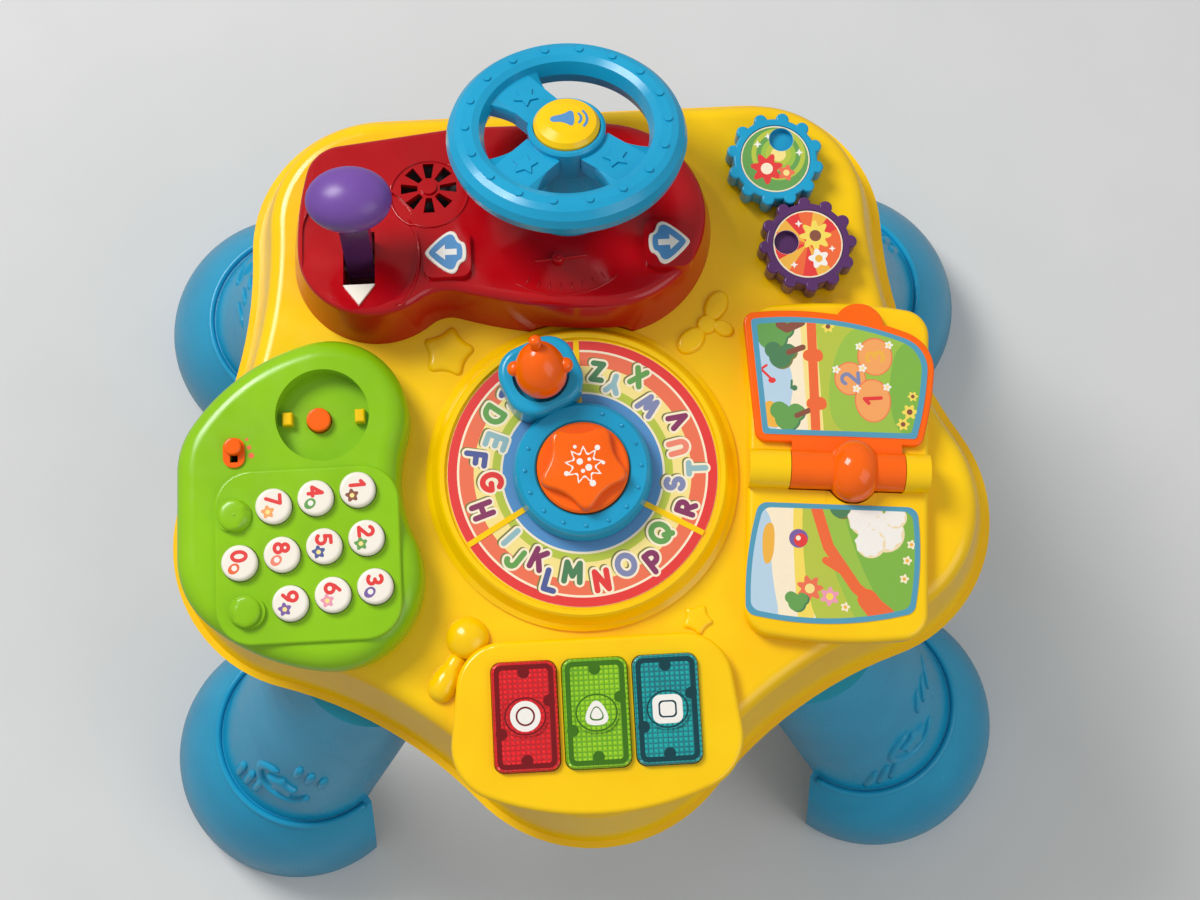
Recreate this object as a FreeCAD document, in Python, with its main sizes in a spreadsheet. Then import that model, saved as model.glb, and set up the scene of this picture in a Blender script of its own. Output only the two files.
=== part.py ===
# Musical activity table for a toddler: a round-lobed deck on four legs, with play stations on top.
# Millimetres, +Z up. The origin is on the floor, at the middle of the four feet. +X is the right of
# the deck and +Y the side away from the light keys. Pieces on the deck are drawn from the middle of
# the letter ring, on the deck's top face, and are then placed by deck_height and deck_shift.
import FreeCAD, Part
import math
import os
import Sketcher
from FreeCAD import Placement, Rotation, Vector

SIZES = [
    # Deck and casing
    ("deck_height", 300), ("deck_shift", -18), ("wall", 2.5), ("skirt_depth", 45),
    ("skirt_slope", 17), ("deck_round", 8), ("lip_out", 1.8), ("lip_thick", 4),
    ("side_lobe_x", 123), ("side_lobe_y", -19), ("side_lobe_r", 66.7),
    ("south_lobe_y", -92), ("south_lobe_r", 71.2),
    ("north_lobe_x", 88), ("north_lobe_y", 123), ("north_lobe_r", 61.7),
    ("north_waist_r", 200), ("south_waist_r", 200),
    ("cover_depth", 12), ("fit_gap", 0.3), ("run_gap", 0.05), ("print_thick", 0.4),
    ("screw_r", 1.5), ("screw_head_r", 3), ("screw_head_high", 1.8), ("boss_wall", 2.2),
    # Legs
    ("leg_x", 170), ("leg_y", 128), ("leg_turn", 32), ("leg_wall", 3.2), ("leg_cut", 7),
    ("foot_r", 70), ("cuff_high", 88), ("cuff_r", 51), ("cuff_lean", 20),
    ("shaft_r", 47.5), ("shaft_top_r", 38), ("shaft_lean", 82),
    ("tenon_r", 22), ("tenon_high", 20),
    # Letter ring and spinner
    ("ring_base_r", 70), ("ring_r", 64.5), ("ring_lip", 3.6), ("ring_high", 9.8), ("print_high", 8),
    ("letter_r", 60), ("divider_wide", 2.5), ("divider_start", 90),
    ("hub_r", 18), ("hub_bore_r", 16), ("hub_high", 13), ("hub_tail", 18),
    ("spinner_r", 31), ("spinner_top_r", 29.5), ("spinner_high", 20), ("spinner_low", 9.2),
    ("spinner_turn", 112), ("retainer_thick", 1.5),
    ("pod_reach", 44), ("pod_long", 32), ("pod_wide", 35), ("pod_high", 29), ("pod_round", 12),
    ("cup_r", 12.5), ("cup_floor", 22), ("head_r", 10.8), ("head_high", 26), ("tuft_r", 4),
    ("ear_r", 4.2), ("star_r", 20.2), ("star_low", 18), ("star_plate", 4), ("star_relief", 5),
    ("star_point_r", 15.5), ("star_dent_r", 9),
    # Dashboard, wheel and lever
    ("dash_corner_x", -101.5), ("dash_corner_y", 139), ("dash_corner_r", 19.5),
    ("dash_left_x", -88), ("dash_left_y", 103), ("dash_left_r", 38),
    ("dash_mid_x", -40), ("dash_mid_y", 108), ("dash_mid_r", 35),
    ("dash_right_x", 15), ("dash_right_y", 114), ("dash_right_r", 50),
    ("dash_north_x", -45), ("dash_north_y", 135), ("dash_north_r", 30),
    ("dash_notch_r", 14), ("dash_front_r", 230), ("dash_draft", 11), ("dash_high", 33),
    ("dash_slope", 13.6), ("dash_front_y", 68), ("dash_round", 4),
    ("wheel_y", 141.5), ("wheel_z", 52), ("wheel_tilt", 22), ("wheel_r", 52.5), ("rim_wide", 16.5),
    ("rim_thick", 15), ("wheel_hub_r", 17), ("wheel_hub_low", -9), ("wheel_hub_top", 6),
    ("spoke_wide", 19), ("spoke_low", -5), ("spoke_top", 3), ("spoke_middle", 225), ("spoke_step", 95),
    ("stud_r", 1.7), ("stud_circle_r", 44), ("stud_count", 18), ("stud_high", 0.8),
    ("column_r", 12.5), ("column_foot_r", 24), ("column_long", 34), ("post_r", 5), ("post_top", -1),
    ("horn_r", 14.4), ("horn_low", 2), ("horn_high", 11),
    ("lever_x", -94.5), ("lever_y", 98), ("lever_z", 9), ("lever_lean", 17), ("lever_long", 54),
    ("lever_wide", 12.5), ("lever_deep", 9), ("knob_wide", 37), ("knob_deep", 30), ("knob_high", 25),
    ("slot_wide", 14), ("slot_long", 27), ("pin_r", 2),
    ("marker_y", 91.5), ("marker_wide", 14), ("marker_long", 10),
    ("sign_x", 49), ("sign_middle_x", -6.2), ("sign_y", 97), ("sign_wide", 21), ("sign_long", 24),
    ("sign_high", 3), ("recess_y", 104), ("recess_wide", 50), ("recess_long", 62),
    ("recess_round", 22), ("recess_deep", 1.6),
    ("speaker_x", -62.8), ("speaker_y", 131.9), ("speaker_r", 16), ("speaker_deep", 8),
    ("grille_in_r", 5), ("grille_out_r", 13.5), ("grille_wide", 2.6), ("grille_slots", 8),
    ("grille_boss_r", 3.6), ("grille_boss_high", 1.2),
    # Gears
    ("gear_a_x", 95.5), ("gear_a_y", 140), ("gear_b_x", 107.5), ("gear_b_y", 99), ("gear_rim_r", 19.2),
    ("gear_tooth_r", 3), ("gear_tooth_at", 19.3), ("gear_teeth", 12), ("gear_low", 1.6),
    ("gear_high", 13), ("gear_post_r", 3), ("gear_foot_r", 8), ("gear_print_r", 15.8),
    ("dimple_r", 5.3), ("dimple_at", 9.8), ("dimple_deep", 3), ("dimple_a", 70), ("dimple_b", 172),
    # Telephone
    ("phone_high", 22), ("phone_round", 9), ("panel_high", 2), ("phone_ceiling", 19.5),
    ("phone_north_x", -111), ("phone_north_y", 29), ("phone_north_r", 35),
    ("phone_northwest_x", -142), ("phone_northwest_y", 7), ("phone_northwest_r", 36),
    ("phone_southwest_x", -140), ("phone_southwest_y", -31), ("phone_southwest_r", 38.5),
    ("phone_south_x", -112), ("phone_south_y", -42), ("phone_south_r", 40),
    ("phone_east_r", 60), ("phone_bulge_r", 90),
    ("panel_x", -120.5), ("panel_y", -32.5), ("panel_wide", 80), ("panel_long", 76), ("panel_round", 16),
    ("grid_x", -113.1), ("grid_y", -29.6), ("grid_turn", 8.5), ("grid_step_x", 18.4),
    ("grid_step_y", 21.4), ("key_r", 7.75), ("key_flange_r", 9), ("key_low", 17.3),
    ("key_flange_high", 19.2), ("key_high", 28), ("key_gap", 0.35),
    ("cradle_x", -113), ("cradle_y", 29), ("cradle_r", 20.5), ("cradle_floor", 12),
    ("hook_x", -115.4), ("hook_y", 28.3), ("hook_r", 5.3), ("hook_high", 16),
    ("catch_wide", 4.5), ("catch_long", 6), ("catch_high", 17), ("catch_reach", 16),
    ("volume_x", -151.6), ("volume_y", 13.8), ("volume_knob_r", 3.8), ("volume_travel", 4.6),
    ("volume_wide", 9.4), ("volume_high", 27),
    # Light keys
    ("light_high", 8), ("light_middle_x", 0.4), ("light_step", 30.8), ("light_y", -106.1),
    ("light_wide", 28.4), ("light_long", 47.4), ("light_round", 4.5), ("light_top", 11),
    ("light_low", 0), ("light_wall", 2), ("light_travel", 2.2), ("light_flange", 2),
    ("light_oval_wide", 19), ("light_oval_long", 17), ("light_pin_r", 1.7), ("lamp_r", 2.5),
    ("lamp_high", 5), ("light_board_long", 33), ("light_post_r", 0.8),
    ("shelf_x", 40), ("shelf_north_y", -94), ("shelf_south_y", -118), ("shelf_r", 21),
    ("shelf_south_r", 24), ("shelf_bulge_r", 130),
    # Book
    ("book_x", 113.4), ("book_y", -5.5), ("book_turn", 5), ("book_high", 9), ("book_round", 3),
    ("book_west", -40), ("book_east", 41), ("book_north", 76), ("book_south", -74),
    ("book_corner_r", 12), ("spine_z", 11.3), ("spine_r", 8.6), ("cap_left", 18), ("cap_right", 11),
    ("spine_half", 40), ("page_thick", 3), ("page_low", 9.6), ("page_near", 12), ("page_far", 71),
    ("page_west", -43.5), ("page_slant", 11), ("page_east", 38), ("page_corner_r", 5),
    ("page_full_x", 24.5), ("page_full_y", 47), ("page_full_r", 18), ("page_bow_r", 150),
    ("page_rim", 3.2), ("tab_x", 8.5), ("tab_r", 11.5), ("label_near", 15), ("label_far", 63),
    ("label_north_x", 31), ("label_south_x", 30), ("book_pin_r", 1.6), ("ball_r", 14),
    ("ball_long", 22), ("ball_shift", 3),
    # Inside
    ("battery_r", 7.2), ("battery_long", 50), ("battery_pitch", 15.4), ("battery_y", -60),
    ("door_thick", 2.2), ("box_high", 18.5), ("box_wide", 52), ("box_long", 62),
    ("board_thick", 1.6), ("board_drop", 14), ("board_y", 98), ("post_wide", 6),
]

DOC = FreeCAD.newDocument("ActivityTable")
SHEET = DOC.addObject("Spreadsheet::Sheet", "Sizes")
for row, (alias, number) in enumerate(SIZES, start=1):
    SHEET.set("A%d" % row, alias)
    SHEET.set("B%d" % row, str(number))
    SHEET.setAlias("B%d" % row, alias)
DOC.recompute()


class Size:
    """A length or an angle: its value, and the sheet expression that gives it."""

    def __init__(self, value, text):
        self.value = value
        self.text = text

    def __add__(self, other):
        other = as_size(other)
        return Size(self.value + other.value, "(%s + %s)" % (self.text, other.text))

    def __sub__(self, other):
        other = as_size(other)
        return Size(self.value - other.value, "(%s - %s)" % (self.text, other.text))

    def __mul__(self, other):
        other = as_size(other)
        return Size(self.value * other.value, "(%s * %s)" % (self.text, other.text))

    def __truediv__(self, other):
        other = as_size(other)
        return Size(self.value / other.value, "(%s / %s)" % (self.text, other.text))

    def __neg__(self):
        return as_size(0) - self

    def __radd__(self, other):
        return as_size(other) + self

    def __rsub__(self, other):
        return as_size(other) - self

    def __rmul__(self, other):
        return as_size(other) * self


def as_size(number):
    """A Size from a plain number; a Size stays as it is."""
    return number if isinstance(number, Size) else Size(float(number), "%.6f" % number)


def cosine(angle):
    angle = as_size(angle)
    return Size(math.cos(math.radians(angle.value)), "cos(%s)" % angle.text)


def sine(angle):
    angle = as_size(angle)
    return Size(math.sin(math.radians(angle.value)), "sin(%s)" % angle.text)


class SheetSizes:
    """Reads each sheet cell as a Size, by its alias."""

    def __getattr__(self, alias):
        return Size(float(SHEET.get(alias)), "Sizes." + alias)


S = SheetSizes()
PIECES = []


def bind(thing, name, size):
    """Ties one property of an object to the sheet."""
    size = as_size(size)
    thing.setExpression(name, size.text)


def piece(thing, label):
    """Names a finished sub-part, so that it is checked and written at the end."""
    thing.Label = label
    PIECES.append(thing)
    return thing


def place(thing, x=0, y=0, z=0, axis=None, angle=None):
    """Places a sub-part by deck coordinates; axis is chosen so that the angle is positive."""
    if axis is not None:
        thing.Placement = Placement(Vector(), Rotation(Vector(*axis), as_size(angle).value))
        bind(thing, "Placement.Rotation.Angle", angle)
    bind(thing, "Placement.Base.x", x)
    bind(thing, "Placement.Base.y", S.deck_shift + y)
    bind(thing, "Placement.Base.z", S.deck_height + z)
    return thing


def new_body(label):
    """A PartDesign body that is one sub-part."""
    return piece(DOC.addObject("PartDesign::Body", "Body_" + label), label)


def new_sketch(body, name, plane="XY", height=0):
    """A sketch on one of the body's own origin planes, lifted along the plane's normal."""
    sketch = body.newObject("Sketcher::SketchObject", name)
    origin_plane = [f for f in body.Origin.OriginFeatures if f.Role == plane + "_Plane"][0]
    sketch.AttachmentSupport = [(origin_plane, "")]
    sketch.MapMode = "FlatFace"
    bind(sketch, "AttachmentOffset.Base.z", height)
    return sketch


def fix(sketch, kind, where, size):
    """Adds one dimension to a sketch and ties it to the sheet."""
    size = as_size(size)
    index = sketch.addConstraint(Sketcher.Constraint(kind, *where, size.value))
    sketch.setExpression("Constraints[%d]" % index, size.text)


def fix_point(sketch, edge, end, x, y):
    """Holds a point of a sketch edge at x, y from the sketch's origin."""
    for kind, size, line in (("DistanceX", as_size(x), -2), ("DistanceY", as_size(y), -1)):
        if size.text == as_size(0).text:
            sketch.addConstraint(Sketcher.Constraint("PointOnObject", edge, end, line))
        else:
            fix(sketch, kind, (-1, 1, edge, end), size)


def circle(sketch, x, y, radius):
    """A full circle held by its centre and radius."""
    centre = Vector(as_size(x).value, as_size(y).value, 0)
    edge = sketch.addGeometry(Part.Circle(centre, Vector(0, 0, 1), as_size(radius).value))
    fix_point(sketch, edge, 3, x, y)
    fix(sketch, "Radius", (edge,), radius)
    return edge


def polygon(sketch, corners):
    """A closed run of straight lines through corners held by the sheet."""
    spots = [Vector(as_size(x).value, as_size(y).value, 0) for x, y in corners]
    edges = []
    for index, spot in enumerate(spots):
        edges.append(sketch.addGeometry(Part.LineSegment(spot, spots[(index + 1) % len(spots)])))
    for index, edge in enumerate(edges):
        following = edges[(index + 1) % len(edges)]
        sketch.addConstraint(Sketcher.Constraint("Coincident", edge, 2, following, 1))
    for edge, (x, y) in zip(edges, corners):
        fix_point(sketch, edge, 1, x, y)


def bridge_points(first, second, bridge):
    """The two tangent points of a bridge between round lobes, and its centre if it is an arc."""
    (ax, ay, ra), (bx, by, rb) = first, second
    a, b = Vector(ax, ay, 0), Vector(bx, by, 0)
    span = (b - a).Length
    heading = math.atan2(by - ay, bx - ax)
    if bridge is None:
        normal = heading - math.acos((ra - rb) / span)
        out = Vector(math.cos(normal), math.sin(normal), 0)
        return a + out * ra, b + out * rb, None
    kind, radius = bridge
    reach_a, reach_b = (ra + radius, rb + radius) if kind == "hollow" else (radius - ra, radius - rb)
    turn = math.acos((reach_a ** 2 + span ** 2 - reach_b ** 2) / (2 * reach_a * span))
    toward = heading - turn if kind == "hollow" else heading + turn
    centre = a + Vector(math.cos(toward), math.sin(toward), 0) * reach_a
    side = 1 if kind == "hollow" else -1
    return a + (centre - a) * (side * ra / reach_a), b + (centre - b) * (side * rb / reach_b), centre


def outline(sketch, lobes, bridges):
    """A closed outline of round lobes in anticlockwise order, joined by tangent lines or arcs."""
    discs = [tuple(as_size(value).value for value in lobe) for lobe in lobes]
    count = len(lobes)
    plain = [None if bridge is None else (bridge[0], as_size(bridge[1]).value) for bridge in bridges]
    joins = [bridge_points(discs[i], discs[(i + 1) % count], plain[i]) for i in range(count)]
    path = []
    for i, (x, y, radius) in enumerate(discs):
        entry, leave = joins[i - 1][1], joins[i][0]
        start = math.atan2(entry.y - y, entry.x - x)
        stop = math.atan2(leave.y - y, leave.x - x)
        stop += 2 * math.pi if stop < start else 0
        arc = Part.ArcOfCircle(Part.Circle(Vector(x, y, 0), Vector(0, 0, 1), radius), start, stop)
        edge = sketch.addGeometry(arc)
        fix_point(sketch, edge, 3, lobes[i][0], lobes[i][1])
        fix(sketch, "Radius", (edge,), lobes[i][2])
        path.append((edge, 1, 2))
        from_point, to_point, centre = joins[i]
        if centre is None:
            path.append((sketch.addGeometry(Part.LineSegment(from_point, to_point)), 1, 2))
            continue
        kind, radius = plain[i]
        first, last = (to_point, from_point) if kind == "hollow" else (from_point, to_point)
        start = math.atan2(first.y - centre.y, first.x - centre.x)
        stop = math.atan2(last.y - centre.y, last.x - centre.x)
        stop += 2 * math.pi if stop < start else 0
        arc = Part.ArcOfCircle(Part.Circle(centre, Vector(0, 0, 1), radius), start, stop)
        edge = sketch.addGeometry(arc)
        fix(sketch, "Radius", (edge,), bridges[i][1])
        path.append((edge, 2, 1) if kind == "hollow" else (edge, 1, 2))
    for (edge, _, end), (following, begin, _) in zip(path, path[1:] + path[:1]):
        sketch.addConstraint(Sketcher.Constraint("Tangent", edge, end, following, begin))


def rounded_box(sketch, x, y, wide, long, radius):
    """A rectangle with round corners, by its middle, size and corner radius."""
    across, along = wide / 2 - radius, long / 2 - radius
    corners = [(x + across, y - along), (x + across, y + along),
               (x - across, y + along), (x - across, y - along)]
    outline(sketch, [(cx, cy, radius) for cx, cy in corners], [None] * 4)


def arch(sketch, middle, half, high):
    """A round arch standing on the sketch's horizontal axis, closed by its base line."""
    middle, half, high = as_size(middle), as_size(half), as_size(high)
    level = (high * high - half * half) / (2 * high)
    radius = high - level
    start = math.asin(-level.value / radius.value)
    ring = Part.Circle(Vector(middle.value, level.value, 0), Vector(0, 0, 1), radius.value)
    curve = sketch.addGeometry(Part.ArcOfCircle(ring, start, math.pi - start))
    ends = [Vector(middle.value + side * half.value, 0, 0) for side in (-1, 1)]
    base = sketch.addGeometry(Part.LineSegment(*ends))
    fix_point(sketch, curve, 3, middle, level)
    fix(sketch, "Radius", (curve,), radius)
    sketch.addConstraint(Sketcher.Constraint("Coincident", curve, 2, base, 1))
    sketch.addConstraint(Sketcher.Constraint("Coincident", base, 2, curve, 1))
    sketch.addConstraint(Sketcher.Constraint("PointOnObject", base, 1, -1))
    sketch.addConstraint(Sketcher.Constraint("PointOnObject", base, 2, -1))


def pad(body, sketch, length, down=False, taper=None):
    """Adds material from a sketch."""
    feature = body.newObject("PartDesign::Pad", sketch.Name + "_Pad")
    feature.Profile = sketch
    feature.Reversed = down
    bind(feature, "Length", length)
    if taper is not None:
        bind(feature, "TaperAngle", taper)
    return feature


CUTS = []


def noted_cut(body, feature):
    """Notes a cut, so that finish can make sure that it took material away."""
    CUTS.append((body, feature))
    return feature


def pocket(body, sketch, depth, up=False, taper=None):
    """Takes material away from a sketch: downwards, or upwards if up."""
    feature = body.newObject("PartDesign::Pocket", sketch.Name + "_Pocket")
    feature.Profile = sketch
    feature.Reversed = up
    bind(feature, "Length", depth)
    if taper is not None:
        bind(feature, "TaperAngle", taper)
    return noted_cut(body, feature)


def revolve(body, sketch, angle=360):
    """Turns a profile about the sketch's vertical axis, which is the body's Z axis."""
    feature = body.newObject("PartDesign::Revolution", sketch.Name + "_Revolution")
    feature.Profile = sketch
    feature.ReferenceAxis = (sketch, ["V_Axis"])
    feature.Midplane = True
    bind(feature, "Angle", angle)
    return feature


def loft(body, sketches, cut=False, ruled=False):
    """Lofts through sketches, to add material or to take it away."""
    kind = "PartDesign::SubtractiveLoft" if cut else "PartDesign::AdditiveLoft"
    feature = body.newObject(kind, sketches[0].Name + "_Loft")
    feature.Profile = sketches[0]
    feature.Sections = sketches[1:]
    feature.Ruled = ruled
    return noted_cut(body, feature) if cut else feature


def fillet(body, radius, wanted):
    """Rounds every edge of the body's last feature for which wanted(edge) holds."""
    DOC.recompute()
    base = body.Tip
    names = ["Edge%d" % (i + 1) for i, edge in enumerate(base.Shape.Edges) if wanted(edge)]
    if not names:
        raise RuntimeError("no edge to round on %s" % body.Label)
    feature = body.newObject("PartDesign::Fillet", body.Name + "_Fillet_%d" % len(body.Group))
    feature.Base = (base, names)
    bind(feature, "Radius", radius)
    return feature


def at_height(height, south=None, slack=0.01):
    """A test for edges that lie level at one height, and south of a line if south is given."""
    level = as_size(height).value
    limit = math.inf if south is None else as_size(south).value
    return lambda edge: (abs(edge.BoundBox.ZMin - level) < slack
                         and abs(edge.BoundBox.ZMax - level) < slack
                         and edge.BoundBox.YMax < limit)


def repeat_round(body, feature, count, angle=360):
    """Repeats a feature about the body's Z axis."""
    pattern = body.newObject("PartDesign::PolarPattern", feature.Name + "_Pattern")
    pattern.Originals = [feature]
    axis = [f for f in body.Origin.OriginFeatures if f.Role == "Z_Axis"][0]
    pattern.Axis = (axis, [""])
    bind(pattern, "Angle", angle)
    bind(pattern, "Occurrences", count)
    body.Tip = pattern
    return pattern


def star_corners(outer, inner, x=0, y=0, turn=90):
    """The ten corners of a five-pointed star."""
    corners = []
    for step in range(10):
        radius = outer if step % 2 == 0 else inner
        angle = as_size(turn + 36 * step)
        corners.append((x + radius * cosine(angle), y + radius * sine(angle)))
    return corners


def table_outline(sketch, inset):
    """The deck's lobed outline, moved inwards by inset."""
    lobes = [
        (S.side_lobe_x, S.side_lobe_y, S.side_lobe_r - inset),
        (S.north_lobe_x, S.north_lobe_y, S.north_lobe_r - inset),
        (-S.north_lobe_x, S.north_lobe_y, S.north_lobe_r - inset),
        (-S.side_lobe_x, S.side_lobe_y, S.side_lobe_r - inset),
        (0, S.south_lobe_y, S.south_lobe_r - inset),
    ]
    north = ("hollow", S.north_waist_r + inset)
    south = ("hollow", S.south_waist_r + inset)
    outline(sketch, lobes, [north, None, north, south, south])


SKETCH_COUNT = [0]


def drawn(body, draw, *shape, plane="XY", height=0):
    """A new sketch with one shape drawn in it."""
    SKETCH_COUNT[0] += 1
    sketch = new_sketch(body, "Sketch_%d" % SKETCH_COUNT[0], plane, height)
    draw(sketch, *shape)
    return sketch


def disc(body, x, y, radius, low, high, cut=False):
    """A round post between two heights, or a round hole."""
    sketch = drawn(body, circle, x, y, radius, height=low)
    return pocket(body, sketch, high - low, up=True) if cut else pad(body, sketch, high - low)


def block(body, x, y, wide, long, low, high, radius=None, cut=False):
    """A rectangular block or hole between two heights, with round corners if radius is given."""
    if radius is None:
        corners = [(x - wide / 2, y - long / 2), (x + wide / 2, y - long / 2),
                   (x + wide / 2, y + long / 2), (x - wide / 2, y + long / 2)]
        sketch = drawn(body, polygon, corners, height=low)
    else:
        sketch = drawn(body, rounded_box, x, y, wide, long, radius, height=low)
    return pocket(body, sketch, high - low, up=True) if cut else pad(body, sketch, high - low)


def light_x(index):
    return S.light_middle_x + (index - 1) * S.light_step


def key_spot(column, line):
    """The place of a telephone key: columns run east and lines run south from the middle key."""
    east, south = (column - 1.0) * S.grid_step_x, line * S.grid_step_y
    return (S.grid_x + east * cosine(S.grid_turn) + south * sine(S.grid_turn),
            S.grid_y + east * sine(S.grid_turn) - south * cosine(S.grid_turn))


KEYS = {"7": (0, -1), "4": (1, -1), "1": (2, -1), "0": (-1, 0), "8": (0, 0), "5": (1, 0),
        "2": (2, 0), "9": (0, 1), "6": (1, 1), "3": (2, 1)}
SCREW_SPOTS = [(-1.32, -0.15), (1.32, -0.15), (-0.5, 1.35), (0.5, 1.35), (-0.43, -0.95),
               (0.43, -0.95)]


def screw_place(index):
    """The place of one casing screw, in shares of the side lobe's reach."""
    across, along = SCREW_SPOTS[index]
    return S.side_lobe_x * across, S.side_lobe_x * along


def shelf_outline(sketch, inset):
    """The raised shelf round the light keys."""
    lobes = [(S.shelf_x, S.shelf_south_y, S.shelf_south_r - inset),
             (S.shelf_x, S.shelf_north_y, S.shelf_r - inset),
             (-S.shelf_x + S.light_middle_x * 2, S.shelf_north_y, S.shelf_r - inset),
             (-S.shelf_x + S.light_middle_x * 2, S.shelf_south_y, S.shelf_south_r - inset)]
    outline(sketch, lobes, [None, None, None, ("bulge", S.shelf_bulge_r - inset)])


def make_top_shell():
    body = new_body("top_shell")
    pad(body, drawn(body, table_outline, as_size(0), height=-S.skirt_depth), S.skirt_depth,
        taper=-S.skirt_slope)
    fillet(body, S.deck_round, at_height(0))
    pad(body, drawn(body, table_outline, -S.lip_out, height=-S.skirt_depth), S.lip_thick)
    pocket(body, drawn(body, table_outline, S.wall, height=-S.skirt_depth),
           S.skirt_depth - S.wall, up=True, taper=-S.skirt_slope)
    # Round pedestal of the letter ring, with a sunk floor for the printed sheet
    disc(body, 0, 0, S.letter_r, -S.wall, 0, cut=True)
    lip_r = S.ring_r - S.ring_lip
    profile = [(S.hub_bore_r, S.print_high - S.wall), (lip_r - S.wall, S.print_high - S.wall),
               (S.ring_base_r - 4 * S.wall, -S.wall), (S.ring_base_r, -S.wall), (S.ring_base_r, 1.5),
               (S.ring_r + 3, 3), (S.ring_r, S.ring_high - 1), (S.ring_r - 1, S.ring_high),
               (lip_r + 0.5, S.ring_high), (lip_r, S.print_high), (S.hub_bore_r, S.print_high)]
    revolve(body, drawn(body, polygon, profile, plane="XZ"))
    hub = [(S.hub_bore_r, -S.hub_tail), (S.hub_r, -S.hub_tail), (S.hub_r, S.hub_high),
           (S.hub_bore_r, S.hub_high)]
    revolve(body, drawn(body, polygon, hub, plane="XZ"))
    for step in range(3):
        turn = S.divider_start + 120 * step
        reach = (S.spinner_r + S.letter_r) / 2
        corners = []
        for along, side in ((-1, -1), (1, -1), (1, 1), (-1, 1)):
            out = reach + along * (S.letter_r - S.spinner_r) / 2
            across = side * S.divider_wide / 2
            corners.append((out * cosine(turn) - across * sine(turn),
                            out * sine(turn) + across * cosine(turn)))
        pad(body, drawn(body, polygon, corners, height=S.print_high), 0.8)
    # Shelf with a window for each light key
    pad(body, drawn(body, shelf_outline, as_size(0), height=-S.wall), S.light_high + S.wall)
    fillet(body, 2.5, at_height(S.light_high, south=-S.ring_base_r))
    pocket(body, drawn(body, shelf_outline, S.wall, height=-S.wall), S.light_high, up=True)
    for index in range(3):
        block(body, light_x(index), S.light_y, S.light_wide + 2 * S.key_gap,
              S.light_long + 2 * S.key_gap, S.light_high - S.wall, S.light_high,
              S.light_round, cut=True)
    # Room under the ball of the book's spine
    shift = ball_middle()
    disc(body, S.book_x + shift * cosine(S.book_turn), S.book_y - shift * sine(S.book_turn),
         S.ball_r + 1.5, -S.wall, 0, cut=True)
    # Screw bosses that reach down to the cover
    for index in range(len(SCREW_SPOTS)):
        x, y = screw_place(index)
        disc(body, x, y, S.screw_r + S.boss_wall, -S.skirt_depth, -S.wall)
        disc(body, x, y, S.screw_r, -S.skirt_depth, -S.skirt_depth + 12, cut=True)
    place(body)


def make_bottom_cover():
    body = new_body("bottom_cover")
    low = -S.skirt_depth - S.cover_depth
    pad(body, drawn(body, table_outline, as_size(0), height=low), S.cover_depth)
    pocket(body, drawn(body, table_outline, S.wall + 1, height=low + S.wall),
           S.cover_depth - S.wall, up=True)
    for side_x in (-1, 1):
        for side_y in (-1, 1):
            x, y = leg_top(side_x, side_y)
            disc(body, x, y, S.tenon_r + S.fit_gap + S.wall, low + S.wall, low + S.tenon_high)
            disc(body, x, y, S.tenon_r + S.fit_gap, low, low + S.tenon_high - S.wall, cut=True)
    block(body, 0, S.battery_y, S.box_wide + 2 * S.wall, S.box_long + 2 * S.wall, low + S.wall,
          low + S.box_high + S.wall)
    block(body, 0, S.battery_y, S.box_wide, S.box_long, low, low + S.box_high, cut=True)
    for index in range(len(SCREW_SPOTS)):
        x, y = screw_place(index)
        disc(body, x, y, S.screw_head_r + S.boss_wall, low + S.wall, -S.skirt_depth)
        disc(body, x, y, S.screw_r + S.fit_gap, low, -S.skirt_depth, cut=True)
        disc(body, x, y, S.screw_head_r + S.fit_gap, low, low + S.cover_depth / 2, cut=True)
    place(body)


def leg_top(side_x, side_y):
    """The middle of a leg's shaft where it meets the cover, in deck coordinates."""
    return (side_x * (S.leg_x - S.shaft_lean * cosine(S.leg_turn)),
            side_y * (S.leg_y - S.shaft_lean * sine(S.leg_turn)) - S.deck_shift)


def leg_section(sketch, middle, radius, chord):
    """A round section cut off by a straight back."""
    x, r, back = middle.value, radius.value, chord.value
    half = math.acos((back - x) / r)
    arc = Part.ArcOfCircle(Part.Circle(Vector(x, 0, 0), Vector(0, 0, 1), r), -half, half)
    curve = sketch.addGeometry(arc)
    ends = [Vector(back, math.copysign(math.sqrt(r ** 2 - (back - x) ** 2), s), 0) for s in (1, -1)]
    line = sketch.addGeometry(Part.LineSegment(*ends))
    sketch.addConstraint(Sketcher.Constraint("Coincident", curve, 2, line, 1))
    sketch.addConstraint(Sketcher.Constraint("Coincident", line, 2, curve, 1))
    sketch.addConstraint(Sketcher.Constraint("Vertical", line))
    fix_point(sketch, curve, 3, middle, 0)
    fix(sketch, "Radius", (curve,), radius)
    fix(sketch, "DistanceX", (-1, 1, line, 1), chord)


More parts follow.
